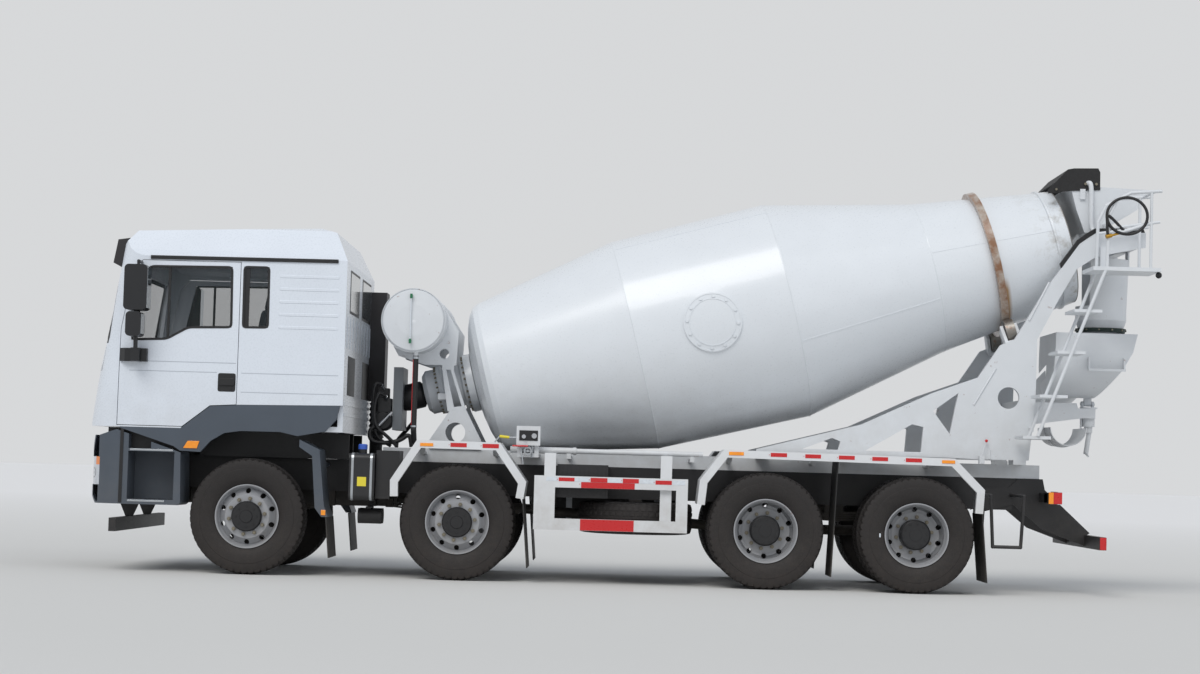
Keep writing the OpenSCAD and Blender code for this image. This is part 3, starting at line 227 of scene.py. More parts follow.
def black_parts(g, col):
    """The visor and the intake behind the cab are near black."""
    place = g.place()
    visor = g.above(place["Z"], 2.7)
    intake = g.above(place["X"], (850 - MIDDLE) / 1000)
    return g.mix(g.math("MAXIMUM", visor, intake), col, srgb(36, 34, 37))


# Head lamps, in metres: their reflectors' centres, and where the amber corner starts
REFLECTORS_Y, REFLECTORS_Z, REFLECTOR_R, BULB_R = (0.935, 1.055), 0.91, 0.044, 0.015
AMBER_Y, AMBER_Z = 1.1, 0.985


def lamp_parts(g, col):
    """Amber upper corner and round reflectors of the head lamps."""
    place = g.place()
    side = g.math("ABSOLUTE", place["Y"])
    front = g.below(place["X"], -4.5)
    amber = g.times(g.above(side, AMBER_Y), g.above(place["Z"], AMBER_Z))
    for centre in REFLECTORS_Y:
        across = g.math("SUBTRACT", side, centre)
        height = g.math("SUBTRACT", place["Z"], REFLECTORS_Z)
        away = g.math("SQRT", g.math("ADD", g.times(across, across), g.times(height, height)))
        ring = g.math("COMPARE", away, REFLECTOR_R, 0.006)
        bulb = g.below(away, BULB_R)
        col = g.mix(g.times(front, g.math("MAXIMUM", ring, bulb)), col, srgb(70, 74, 80))
    return g.mix(g.times(front, amber), col, srgb(236, 130, 44))


def rust_spots(amount, scale=14.0):
    def add(g, col):
        spots = g.remap(g.noise(scale, 8.0, 0.7), 0.66 - amount, 0.74)
        return g.mix(spots, col, RUST)
    return add


def look(r, g, b, rough, **options):
    """A row of the tables below: colour, roughness and what differs from a plain surface."""
    return dict(color=srgb(r, g, b), rough=rough, **options)


PAINTS = {name: surface(name, **row) for name, row in {
    "cab_white": look(222, 228, 236, 0.28, vary=0.015, dust=0.25, dust_top=1.9, dust_low=1.2, coat=0.5),
    "mixer_white": look(216, 219, 222, 0.42, vary=0.03, dust=0.45, dust_top=2.0, dust_low=0.7,
                        extra=rust_spots(0.02)),
    "drum_white": look(224, 228, 232, 0.3, vary=0.015, dust=0.22, dust_top=2.3, dust_low=1.2, coat=0.35,
                       extra=drum_marks),
    "guard_white": look(222, 224, 226, 0.45, vary=0.02, dust=0.55, dust_top=1.4, dust_low=0.3),
    "chassis_black": look(26, 26, 29, 0.5, vary=0.2, dust=0.12, dust_top=1.2),
    "axle_iron": look(38, 36, 35, 0.65, metal=0.3, vary=0.25, dust=0.3, bump=0.3),
    "engine_iron": look(62, 62, 63, 0.6, metal=0.4, vary=0.2, dust=0.4, bump=0.3),
    "trim_dark": look(72, 80, 90, 0.5, vary=0.05, dust=0.2, dust_top=1.3, bump=0.15, bump_scale=300,
                      extra=black_parts),
    "mirror_black": look(26, 27, 30, 0.35, vary=0.15, bump=0.1, bump_scale=300),
    "box_black": look(27, 27, 30, 0.5, vary=0.15, dust=0.12, bump=0.15, bump_scale=200),
    "tank_metal": look(34, 35, 38, 0.45, metal=0.2, vary=0.15, dust=0.12),
    "lamp": look(196, 200, 206, 0.12, vary=0.1, scale=20.0, coat=0.8, extra=lamp_parts),
    "interior": look(70, 72, 76, 0.6, vary=0.1, bump=0.2, bump_scale=240),
    "seat_fabric": look(92, 96, 104, 0.9, vary=0.18, scale=40.0, bump=0.6, bump_scale=500),
    "rubber": look(28, 28, 29, 0.7, vary=0.2, dust=0.2, dust_top=0.9, bump=0.2),
    "tyre": look(28, 25, 25, 0.72, vary=0.16, scale=8.0, dust=0.16, dust_top=1.3, dust_low=-0.3,
                 bump=0.3, bump_scale=90, dust_color=srgb(104, 90, 78)),
    "rim_silver": look(160, 162, 166, 0.4, metal=0.35, vary=0.05, dust=0.3, dust_top=1.2, dust_low=0.0,
                       extra=rust_spots(0.03, 20.0)),
    "roller_steel": look(140, 136, 130, 0.35, metal=0.8, vary=0.15, extra=rust_spots(0.1)),
}.items()}


def glass_material():
    m, g, shader = new_material("glass")
    n = g.noise(2.0)
    g.join(g.mix(n, srgb(40, 48, 50), srgb(54, 62, 62)), shader["Base Color"])
    g.join(g.remap(n, 0.2, 0.8, 0.03, 0.07), shader["Roughness"])
    g.join(0.2, shader["Alpha"])
    g.join(1.45, shader["IOR"])
    return m


PAINTS["glass"] = glass_material()
PAINTS.update({name: surface("detail_" + name, **row) for name, row in {
    "black": look(24, 24, 26, 0.45, vary=0.15),
    "chrome": look(200, 202, 206, 0.16, metal=1.0, vary=0.05),
    "bolt": look(128, 122, 108, 0.4, metal=0.6, vary=0.15, dust=0.2),
    "dark_glass": look(58, 68, 70, 0.08, vary=0.1, coat=0.8),
    "amber": look(255, 150, 24, 0.2, vary=0.1, scale=30.0, coat=0.6),
    "red": look(198, 20, 24, 0.3, vary=0.03, scale=3.0, coat=0.4),
    "green": look(36, 110, 74, 0.4, vary=0.1),
    "blue": look(58, 96, 190, 0.4, vary=0.1),
    "yellow": look(226, 208, 60, 0.45, vary=0.05),
    "grey": look(120, 124, 128, 0.5, vary=0.08),
    "edge": look(176, 180, 184, 0.35, metal=0.8, vary=0.06),
    # Painted shade: greyer strips that stand for the shade in the pressed creases of the cab and doors
    "shade_line": look(178, 184, 192, 0.5, vary=0.05),
    "dark_green": look(40, 54, 50, 0.6, vary=0.15),
    "brass": look(186, 144, 62, 0.3, metal=0.9, vary=0.1),
    "lens": look(214, 220, 226, 0.08, vary=0.08, scale=40.0, coat=1.0),
    "cement": look(138, 134, 128, 0.8, vary=0.15, scale=8.0, bump=0.4),
    "mirror": look(206, 212, 218, 0.04, metal=1.0, vary=0.02),
}.items()})
for node, obj in frame["nodes"].items():
    slot_name = next(s["material_slot"] for s in frame["record"]["subparts"] if s["node"] == node)
    obj.data.materials.clear()
    obj.data.materials.append(PAINTS[slot_name])


# Mesh building

CUBE = [(0, 1, 3, 2), (4, 6, 7, 5), (0, 4, 5, 1), (2, 3, 7, 6), (0, 2, 6, 4), (1, 5, 7, 3)]


def axes(direction):
    """Unit vector along a direction and two across it."""
    d = Vector(direction).normalized()
    side = d.orthogonal().normalized()
    return d, side, d.cross(side)


def row_faces(rows, n, closed=False):
    """Faces between closed rows of n points, back to the first row where closed."""
    return [(k * n + i, k * n + (i + 1) % n, (k + 1) % rows * n + (i + 1) % n, (k + 1) % rows * n + i)
            for k in range(rows if closed else rows - 1) for i in range(n)]


def solid_faces(rows, n):
    """Faces between closed rows of n points, and both ends."""
    return row_faces(rows, n) + [list(range(n))[::-1], list(range((rows - 1) * n, rows * n))]


def rect(x1, x2, z1, z2):
    return [(x1, z1), (x2, z1), (x2, z2), (x1, z2)]


def curve(start, corner, end, steps):
    """Points on the curve from start to end that bends towards the corner."""
    ts = [j / steps for j in range(steps + 1)]
    return [start * (1 - t) ** 2 + corner * 2 * t * (1 - t) + end * t ** 2 for t in ts]


class Batch:
    """Collects simple solids for one piece; sizes and places are in millimetres unless it says metres."""

    def __init__(self):
        self.v, self.f = [], []

    def add(self, verts, faces):
        n = len(self.v)
        self.v += [tuple(v) for v in verts]
        self.f += [[i + n for i in f] for f in faces]
        return self

    def box(self, a, b):
        (x1, x2), (y1, y2), (z1, z2) = (sorted(pair) for pair in zip(at(*a), at(*b)))
        return self.add([(x, y, z) for x in (x1, x2) for y in (y1, y2) for z in (z1, z2)], CUBE)

    def rod(self, p, q, r, n):
        """Closed cylinder between two places in metres."""
        _, side, other = axes(q - p)
        ring = [spoke(TAU * i / n, side, other) * (r / 1000) for i in range(n)]
        return self.add([end + w for end in (p, q) for w in ring], solid_faces(2, n))

    def tube(self, a, b, r, n=16):
        return self.rod(at(*a), at(*b), r, n)

    def slab(self, outline, y1, y2):
        """Side-view outline of (x, z), through y1 to y2."""
        return self.add([at(x, y, z) for y in (y1, y2) for x, z in outline], solid_faces(2, len(outline)))

    def band(self, outer, inner, place):
        """Ring between two outlines with as many points each; place(u, v, k) puts them on face 0 or 1."""
        n = len(outer)
        faces = []
        for i in range(n):
            j = (i + 1) % n
            faces += [(i, j, n + j, n + i), (2 * n + i, 3 * n + i, 3 * n + j, 2 * n + j),
                      (i, 2 * n + i, 2 * n + j, j), (n + i, n + j, 3 * n + j, 3 * n + i)]
        return self.add([place(u, v, k) for k in (0, 1) for o in (outer, inner) for u, v in o], faces)

    def frame(self, outer, inner, y1, y2):
        """Ring between two side-view outlines."""
        return self.band(outer, inner, lambda x, z, k: at(x, (y1, y2)[k], z))

    def turn(self, centre, axis, profile, n=48):
        """Lathe of (distance along axis, radius) about a centre given in metres."""
        d, side, other = axes(axis)
        verts = [Vector(centre) + d * (t / 1000) + spoke(TAU * i / n, side, other) * (r / 1000)
                 for t, r in profile for i in range(n)]
        return self.add(verts, row_faces(len(profile), n))

    def hexes(self, centre, axis, circle, count, r, height, n=6):
        """Ring of nuts on a circle about an axis, round a centre given in metres."""
        d, side, other = axes(axis)
        for i in range(count):
            p = Vector(centre) + spoke(TAU * i / count, side, other) * (circle / 1000)
            self.rod(p, p + d * (height / 1000), r, n)
        return self

    def nut(self, centre, axis, r, height):
        return self.hexes(centre, axis, 0, 1, r, height)

    def ball(self, x, y, z, r):
        angles = [math.radians(-90 + 180 * i / 10) for i in range(11)]
        return self.turn(at(x, y, z), UPRIGHT, [(r * math.sin(a), r * math.cos(a)) for a in angles], 16)

    def bend(self, points, r, n=14, steps=8):
        """Round tube through points, with its corners as curves."""
        pts = [Vector(p) for p in points]
        line = [pts[0]]
        for i in range(1, len(pts) - 1):
            a, p, c = pts[i - 1], pts[i], pts[i + 1]
            start = (a + p) / 2 if i > 1 else p + (a - p) * 0.5
            line += curve(start, p, p + (c - p) * 0.5, steps)
        line.append(pts[-1])
        keep = [line[0]]
        for q in line[1:]:
            if (q - keep[-1]).length > 1:
                keep.append(q)
        side, verts = None, []
        for i, q in enumerate(keep):
            d = (keep[min(i + 1, len(keep) - 1)] - keep[max(i - 1, 0)]).normalized()
            side = d.orthogonal().normalized() if side is None else (side - d * side.dot(d)).normalized()
            verts += [at(*(q + spoke(TAU * k / n, side, d.cross(side)) * r)) for k in range(n)]
        return self.add(verts, solid_faces(len(keep), n))

    def piece(self, name, paint, body, slot, bevel=0.0, smooth=None):
        mesh = bpy.data.meshes.new(name)
        mesh.from_pydata(self.v, [], self.f)
        mesh.validate()
        bm = bmesh.new()
        bm.from_mesh(mesh)
        bmesh.ops.recalc_face_normals(bm, faces=bm.faces)
        bm.to_mesh(mesh)
        bm.free()
        obj = bpy.data.objects.new(name, mesh)
        bpy.context.scene.collection.objects.link(obj)
        mesh.materials.append(PAINTS[paint])
        if bevel:
            mod = obj.modifiers.new("bevel", "BEVEL")
            mod.width = bevel / 1000
            mod.segments = 2
            mod.limit_method = "ANGLE"
        if smooth is not None:
            for poly in mesh.polygons:
                poly.use_smooth = True
            mesh.set_sharp_from_angle(angle=math.radians(smooth))
        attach(obj, body)
        return obj


def inset(points, d):
    """Outline moved inward by d, for outlines that turn one way."""
    n = len(points)
    pairs = [(points[i], points[(i + 1) % n]) for i in range(n)]
    sign = 1 if sum(p[0] * q[1] - q[0] * p[1] for p, q in pairs) > 0 else -1
    out = []
    for i in range(n):
        p, a, b = (Vector(points[i]), Vector(points[i - 1]), Vector(points[(i + 1) % n]))
        u, v = (p - a).normalized(), (b - p).normalized()
        nu, nv = Vector((-u.y, u.x)) * sign, Vector((-v.y, v.x)) * sign
        w = (nu + nv) / (1 + nu.dot(nv))
        out.append(tuple(p + w * d))
    return out


def rounded(points, r, steps=4):
    """Outline with its corners cut by curves."""
    n = len(points)
    out = []
    for i in range(n):
        p, a, b = (Vector(points[i]), Vector(points[i - 1]), Vector(points[(i + 1) % n]))
        u, v = (a - p), (b - p)
        k = min(r, u.length * 0.45, v.length * 0.45)
        out += [tuple(q) for q in curve(p + u.normalized() * k, p, p + v.normalized() * k, steps)]
    return out


# Tyres with tread blocks, which stand for the plain ones

TYRE_R, RIM_R = 542, 298
SECTION = [(RIM_R - 7, 115), (RIM_R + 6, 121), (RIM_R + 16, 130), (RIM_R + 40, 138), (RIM_R + 44, 140),
           (RIM_R + 80, 148), (TYRE_R - 122, 150), (TYRE_R - 104, 150), (TYRE_R - 100, 147),
           (TYRE_R - 70, 147), (TYRE_R - 40, 142)]
CROWN = [136, 128, 100, 74, 70, 62, 58, 24, 20, 8, 4]
GROOVES = (70, 62, 20, 8)
GROOVE_DEEP, SHOULDER_DEEP, SIPE_DEEP = 13, 14, 7
PITCHES, STEPS = 52, 5


def crown_point(y, step):
    """Radius and place of a point of the tread, at a distance across it and a step round it."""
    ay, depth = abs(y), 0
    phase = (step + (2 if y > 0 else 0) + int(ay / 60)) % STEPS
    if ay in GROOVES:
        depth = GROOVE_DEEP
    elif ay > 72 and phase == 0:
        depth = SHOULDER_DEEP
    elif 22 < ay < 62 and phase == 2:
        depth = SIPE_DEEP
    return TYRE_R - 1 - 20 * (ay / 140) ** 4 - depth, y


ROWS = [SECTION + [crown_point(y, i) for y in CROWN + [-y for y in reversed(CROWN)]]
        + [(r, -y) for r, y in reversed(SECTION)] for i in range(PITCHES * STEPS)]


def tyre_into(batch, x, y, z, lying=False, lift=0):
    """Tyre standing across the truck or lying flat, its rows moved out by lift."""
    n, m = len(ROWS), len(ROWS[0])
    verts = []
    for i, row in enumerate(ROWS):
        a = TAU * i / n
        for r, w in row:
            u, v = (r + lift) * math.sin(a), (r + lift) * math.cos(a)
            verts.append(at(x + u, y + v, z + w) if lying else at(x + u, y + w, z + v))
    pairs = [(i, k, k + 1) for i in range(n) for k in range(m - 1)] + [(i, m - 1, 0) for i in range(n)]
    batch.add(verts, [(i * m + k, i * m + j, (i + 1) % n * m + j, (i + 1) % n * m + k) for i, k, j in pairs])


AXLES = {1: 0, 2: 1960, 3: 4830, 4: 6230}
WHEEL_Z = TYRE_R
FRONT_Y, OUTER_Y, TWIN_GAP = 1018, 1090, 350
NUT_CIRCLE, FRONT_CAP, TWIN_CAP = 167.5, 0.052, 0.1465
FRONT_HUB = [(1, 141.5), (36, 141.5), (40, 140), (51, 130.5), (52, 60), (60, 56), (60, 0)]
TWIN_HUB = [(1, 141.5), (60, 141.5), (134, 141), (140, 134), (146.5, 126), (147, 60), (149, 58), (149, 0)]
for number, x in AXLES.items():
    for side, s in (("left", -1), ("right", 1)):
        twin = number > 2
        node = f"tyres_{number}_{side}" if twin else f"tyre_{number}_{side}"
        body = f"wheels_{number}_{side}" if twin else f"wheel_{number}_{side}"
        b = Batch()
        for y in ((OUTER_Y, OUTER_Y - TWIN_GAP) if twin else (FRONT_Y,)):
            tyre_into(b, x, s * y, WHEEL_Z)
        tyre = b.piece("tread_" + node, "tyre", body, "tyre", smooth=35)
        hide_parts(node)
        centre = at(x, s * (OUTER_Y - 92 if twin else FRONT_Y + 118), WHEEL_Z)
        out = (0, s, 0)
        nuts = Batch().hexes(centre, out, NUT_CIRCLE, 10, 19, 22)
        nuts.hexes(centre, out, NUT_CIRCLE, 10, 11, 36, n=12)
        nuts.piece("nuts_" + node, "bolt", body, "rim_silver")
        cap = Batch().turn(centre, out, TWIN_HUB if twin else FRONT_HUB)
        if twin:
            cap.hexes(centre + Vector(out) * TWIN_CAP, out, 108, 10, 9, 8)
        else:
            cap.hexes(centre + Vector(out) * FRONT_CAP, out, 96, 8, 8, 7)
        cap.piece("hub_cap_" + node, "black", body, "axle_iron", smooth=30)


# Details that ride with the frame

def on_sides(add, name, paint, body, slot, **options):
    """One piece from the same small parts on both sides; add(batch, s) draws them for side s."""
    b = Batch()
    for s in (-1, 1):
        add(b, s)
    return b.piece(name, paint, body, slot, **options)


def boxes(*rows):
    """Adds boxes, each from a corner x, y, z to a corner x, y, z, with y counted outwards."""
    def add(b, s):
        for x1, y1, z1, x2, y2, z2 in rows:
            b.box((x1, s * y1, z1), (x2, s * y2, z2))
    return add


def slabs(near, far, *outlines):
    """Adds side-view outlines between two distances from the middle."""
    def add(b, s):
        for outline in outlines:
            b.slab(outline, s * near, s * far)
    return add


# Reflector pads: x from, x to, z from, z to
PAD_Y = 1245.0
AMBER_PADS = [(1602, 1724, 1240, 1270), (4471, 4608, 1236, 1268), (6446, 6568, 1215, 1245)]
RED_PADS = [(1884, 2035, 1240, 1278), (2182, 2333, 1239, 1277), (4858, 5009, 1232, 1268),
            (5178, 5324, 1228, 1264), (5490, 5637, 1225, 1261), (5800, 5946, 1221, 1257),
            (6111, 6261, 1218, 1254), (2898, 3044, 952, 986), (3194, 3349, 950, 990),
            (3107, 3604, 894, 948), (3493, 3641, 950, 990), (3796, 3947, 945, 982)]
PALE_PADS = [(2782, 2886, 952, 990), (3052, 3186, 952, 990), (3352, 3485, 950, 990), (3650, 3788, 950, 990),
             (3955, 4070, 945, 985)]
RIVETS = [(x1 - 16, x1 - 10, z2 - 22, z2 - 16) for x1, x2, z1, z2 in RED_PADS]


def pads(rows, t=2.5):
    return boxes(*[(x1, PAD_Y, z1, x2, PAD_Y + t, z2) for x1, x2, z1, z2 in rows])


on_sides(pads(AMBER_PADS, 6), "amber_lamps", "amber", "chassis", "lamp", bevel=2)
on_sides(pads(RED_PADS), "red_reflectors", "red", "chassis", "lamp")
on_sides(pads(RIVETS, 4), "pad_rivets", "red", "chassis", "lamp")

# Tail lamps and the end marks of the underrun bar
on_sides(boxes((7600, 712, 868, 7604, 860, 972), (8000, 1070, 452, 8003, 1150, 568)),
         "tail_red", "red", "chassis", "lamp", bevel=1)
on_sides(boxes((7600, 870, 868, 7604, 940, 972)), "tail_amber", "amber", "chassis", "lamp", bevel=1)
on_sides(boxes((7600, 950, 868, 7604, 1040, 972)), "tail_clear", "lens", "chassis", "lamp", bevel=1)

# Side steps with worn metal edges and ribbed treads, and the lamps of the wheel arches
STEP_Y = 1230
STEP_RIBS = [-1080 + 44 * i for i in range(9)]
on_sides(boxes((-1095, STEP_Y, 1126, -695, STEP_Y + 4, 1142), (-1104, STEP_Y, 652, -760, STEP_Y + 4, 668)),
         "step_edges", "edge", "chassis", "trim_dark", bevel=1)
on_sides(boxes(*[(x, 960, 675, x + 14, 1215, 679) for x in STEP_RIBS]),
         "step_ribs", "black", "chassis", "trim_dark", bevel=1)
on_sides(slabs(1239, 1247, [(-600, 1160), (-472, 1160), (-450, 1228), (-560, 1228)]),
         "arch_lamps", "amber", "cab", "lamp", bevel=2)

# Straps, cap and plain square on the additive tank; straps and cap on the fuel tank
TANK_CORNER = 66


def strap(b, x1, x2, cy, cz, w, h, t=4):
    """Flat band round a tank lying along the truck."""
    inner, outer = (rounded(rect(cy - w / 2 - d, cy + w / 2 + d, cz - h / 2 - d, cz + h / 2 + d),
                            TANK_CORNER + d, 5) for d in (0, t))
    b.band(outer, inner, lambda y, z, k: at((x1, x2)[k], y, z))


b = Batch()
for x in (962, 1136):
    strap(b, x, x + 22, -930, 939, 500, 438)
for x in (2940, 3820):
    strap(b, x, x + 60, 830, 840, 600, 560)
b.piece("tank_straps", "edge", "chassis", "tank_metal")
b = Batch().turn(at(1052, -1050, 0), UPRIGHT, [(1196, 0), (1196, 43), (1236, 43), (1244, 36), (1246, 0)], 32)
b.piece("additive_cap", "blue", "chassis", "tank_metal", smooth=35)
b = Batch().turn(at(2860, 985, 0), UPRIGHT, [(1118, 0), (1118, 52), (1150, 52), (1158, 44), (1160, 0)], 32)
b.piece("fuel_cap", "black", "chassis", "tank_metal", smooth=35)
b = Batch().box((1020, -1180.5, 852), (1104, -1182, 938))
b.piece("plain_square", "yellow", "chassis", "tank_metal")

# Water tank: level valves, sight tube, outlet clamps, hose line and tank bands
SIGHT_X, TANK_X, TANK_Z = 1444, 1465, 2433
b = Batch()
for z in (2664, 2236):
    b.tube((SIGHT_X, -846, z), (SIGHT_X, -886, z), 13, 16)
    b.box((SIGHT_X - 12, -872, z - 26), (SIGHT_X + 12, -890, z + 18))
b.piece("level_valves", "green", "chassis", "mixer_white", bevel=2)
b = Batch().tube((SIGHT_X, -881, 2240), (SIGHT_X, -881, 2640), 6, 12)
b.piece("sight_tube", "lens", "chassis", "glass", smooth=40)
b = Batch()
b.turn(at(1497, -790, 0), UPRIGHT, [(2068, 27), (2068, 31), (2090, 31), (2090, 27)], 24)
b.turn(at(1497, -790, 0), UPRIGHT, [(1420, 27), (1420, 30), (1436, 30), (1436, 27)], 24)
b.piece("hose_clamps", "edge", "chassis", "mixer_white", smooth=40)
b = Batch().tube((1474, -806, 1440), (1474, -806, 2060), 3, 8)
b.piece("hose_line", "red", "chassis", "rubber")


def tank_band(b, y, r, w, t):
    profile = [(-w / 2, r - 1), (-w / 2, r + t), (w / 2, r + t), (w / 2, r - 1)]
    b.turn(at(TANK_X, y, TANK_Z), ACROSS, profile, 64)


b = Batch()
for y in (-420, 420):
    tank_band(b, y, 304, 50, 4)
for y in (-832, 832):
    tank_band(b, y, 303, 10, 2.5)
b.piece("tank_bands", "mixer_white", "chassis", "mixer_white", smooth=30)

# Drum gear: bolt rings, cooler skin, motor and hoses
b = Batch()
b.hexes(on_drum(-245, 0, 0), -AXIS, 226, 28, 9, 60)
b.hexes(on_drum(-8, 0, 0), AXIS, 262, 26, 12, 8)
b.hexes(on_drum(-8, 0, 0), -AXIS, 262, 26, 11, 14)
b.piece("gear_bolts", "bolt", "chassis", "mixer_white")
b = Batch().box((1244, -266, 1394), (1336, 266, 2006))
b.piece("cooler_skin", "grey", "chassis", "mixer_white", bevel=3)
b = Batch()
b.turn(on_drum(-520, 0, 0), AXIS, [(-150, 0), (-150, 118), (-100, 130), (60, 130), (80, 104), (80, 0)], 40)
b.turn(at(1150, -150, 1480), ACROSS,
       [(-150, 0), (-150, 84), (-120, 96), (60, 96), (80, 70), (110, 70), (110, 0)], 32)
b.box((1100, -300, 1560), (1230, -120, 1700))
b.box((1090, -220, 1700), (1200, -100, 1800))
b.piece("drum_motor", "black", "chassis", "axle_iron", bevel=6, smooth=35)
b = Batch()
b.tube((1118, -318, 1430), (1216, -318, 1540), 17, 16)
b.tube((1216, -318, 1540), (1240, -318, 1566), 24, 8)
b.tube((1180, -300, 1690), (1180, -340, 1716), 18, 8)
b.tube((1150, -230, 1790), (1130, -262, 1830), 14, 8)
b.piece("motor_fittings", "chrome", "chassis", "mixer_white", smooth=35)

MOTOR_HOSES = [
    (21, [(1120, -318, 1432), (1030, -330, 1400), (1040, -330, 1280), (1180, -320, 1262), (1330, -300, 1290),
          (1420, -300, 1370), (1440, -280, 1236)]),
    (17, [(1180, -342, 1718), (1110, -380, 1760), (1070, -380, 1600), (1090, -380, 1420), (1200, -370, 1340),
          (1300, -330, 1240)]),
    (15, [(1130, -264, 1832), (1060, -300, 1850), (1050, -300, 1600), (1075, -300, 1330),
          (1240, -280, 1236)]),
    (20, [(1420, 230, 1500), (1330, 330, 1400), (1240, 330, 1300), (1240, 300, 1236)])]
b = Batch()
for r, line in MOTOR_HOSES:
    b.bend(line, r)
b.piece("motor_hoses", "black", "chassis", "rubber", smooth=40)

# Control box: panel, dials, levers and valve wheel
b = Batch().box((2516, -1150, 1318), (2690, -1156, 1414))
b.piece("control_panel", "black", "chassis", "box_black", bevel=2)
b = Batch()
b.tube((2560, -1156, 1356), (2560, -1190, 1356), 19, 20)
b.turn(at(2656, -1156, 1364), -ACROSS, [(0, 22), (8, 24), (12, 24), (12, 18), (6, 17), (6, 0)], 32)
b.piece("control_dials", "chrome", "chassis", "mixer_white", smooth=35)
b = Batch()
b.tube((2455, -1162, 1268), (2600, -1162, 1268), 8, 12)
b.tube((2530, -1162, 1268), (2530, -1120, 1268), 7, 12)
b.piece("control_lever", "red", "chassis", "mixer_white", smooth=40)
b = Batch()
b.turn(at(2600, -1140, 1222), -ACROSS, [(-8, 26), (-8, 38), (8, 38), (8, 26), (-8, 26)], 32)
b.tube((2600, -1100, 1222), (2600, -1146, 1222), 12, 16)
b.box((2565, -1134, 1218), (2635, -1144, 1226))
b.tube((2490, -1100, 1345), (2420, -1100, 1345), 7, 12)
b.tube((2330, -1100, 1352), (2286, -1100, 1296), 7, 12)
b.tube((2530, -1130, 1262), (2560, -1150, 1100), 6, 12)
b.tube((2640, -1110, 1275), (2640, -1110, 1160), 6, 12)
b.piece("control_pipes", "edge", "chassis", "mixer_white", smooth=40)
b = Batch().tube((2422, -1100, 1345), (2330, -1100, 1354), 13, 14)
b.piece("control_tap", "yellow", "chassis", "mixer_white", smooth=40)
b = Batch()
b.tube((2430, -970, 1234), (3020, -970, 1234), 31, 24)
b.tube((3020, -970, 1234), (3050, -970, 1234), 35, 24)
b.piece("pipe_sleeve", "mixer_white", "chassis", "mixer_white", smooth=35)

# Rear frame: pressed bars, rubber strip, lever, knob and bolts on the hopper sheet
on_sides(lambda b, s: (b.tube((7522, s * 650, 2976), (7336, s * 650, 2604), 11, 14),
                       b.tube((7026, s * 650, 2137), (6822, s * 650, 1784), 11, 14)),
         "plate_bars", "mixer_white", "chassis", "mixer_white", smooth=40)
ARM_EDGE = [(7640, 3119), (7805, 3353), (7880, 3410), (7964, 3464), (8120, 3470), (8430, 3478)]
on_sides(slabs(596, 652, ARM_EDGE + [(x - 16, z + 42) for x, z in reversed(ARM_EDGE)]),
         "arm_strip", "black", "chassis", "rubber", bevel=2)
b = Batch().box((6876, -722, 1225), (6926, -650, 1300))
b.tube((6901, -690, 1290), (6943, -690, 1438), 5, 10)
b.tube((6980, -640, 1270), (6980, -640, 1360), 18, 14)
b.piece("rear_lever", "mixer_white", "chassis", "mixer_white", bevel=2)
b = Batch().ball(6944, -690, 1444, 15)
b.piece("lever_ball", "red", "chassis", "mixer_white", smooth=60)
b = Batch().ball(8450, -1150, 3028, 30)
b.tube((8450, -1150, 3040), (8450, -1150, 3060), 8, 12)
b.piece("platform_knob", "black", "chassis", "rubber", smooth=60)
SHEET_BOLTS = [(7880, 3950, 14), (7985, 3950, 14), (7600, 3890, 12)]
on_sides(lambda b, s: [b.nut(at(x, s * 510, z), (0, s, 0), r, 12) for x, z, r in SHEET_BOLTS],
         "sheet_bolts", "bolt", "chassis", "mixer_white")

# Funnel: rubber ring with its bolts, and the post beside the hopper
FUNNEL_X, RING_BOLTS = 8155, 12
b = Batch().turn(at(FUNNEL_X, 0, 0), UPRIGHT, [(2544, 198), (2544, 236), (2584, 246), (2584, 214)], 48)
b.piece("funnel_ring", "dark_green", "chassis", "rubber", smooth=40)
b = Batch()
for i in range(RING_BOLTS):
    a = TAU * (i + 0.5) / RING_BOLTS
    d = Vector((math.cos(a), math.sin(a), 0))
    b.nut(at(FUNNEL_X, 0, 2566) + d * 0.238, d, 9, 12)
b.piece("ring_bolts", "bolt", "chassis", "mixer_white")
POST = [(7905, -500, 3960), (7930, -536, 3960), (7936, -536, 3800), (7936, -536, 3520), (7960, -570, 3486)]
b = Batch().bend(POST, 23, 18)
b.box((7830, -500, 3800), (7880, -522, 3900))
b.piece("hopper_post", "mixer_white", "chassis", "mixer_white", smooth=40)

# Wash hose coiled on the platform rail, with its lance and brass nozzle
COIL = [math.radians(200 - 30 * i) for i in range(14)]
loop = [(8131 + 196 * math.cos(a), -1222, 3570 + 178 * math.sin(a)) for a in COIL]
b = Batch().bend([(7952, -1222, 3392), (7946, -1222, 3450)] + loop + [(8120, -1200, 3420)], 14, 12, 4)
b.piece("wash_hose", "black", "chassis", "rubber", smooth=40)
b = Batch().tube((8060, -1200, 3408), (8345, -1200, 3506), 19, 16)
b.piece("wash_lance", "mixer_white", "chassis", "mixer_white", smooth=40)
b = Batch()
b.tube((8062, -1200, 3408), (7990, -1214, 3384), 12, 12)
b.tube((7990, -1214, 3384), (7936, -1222, 3372), 20, 12)
b.piece("wash_nozzle", "brass", "chassis", "mixer_white", smooth=40)

# Cab: height and station of its front face, and the rounded corners beside it

CAB_Y = 1240.0
FRONT = [(1365, -1490), (1857, -1448), (2103, -1388), (2840, -1268), (3060, -1235)]
CORNER_R, CORNER_DEPTH, CORNER_STRETCH = 300, 303.3, 1.011
FOOT_X, FOOT_Z, LEAN = -1530, 1345, 0.14855


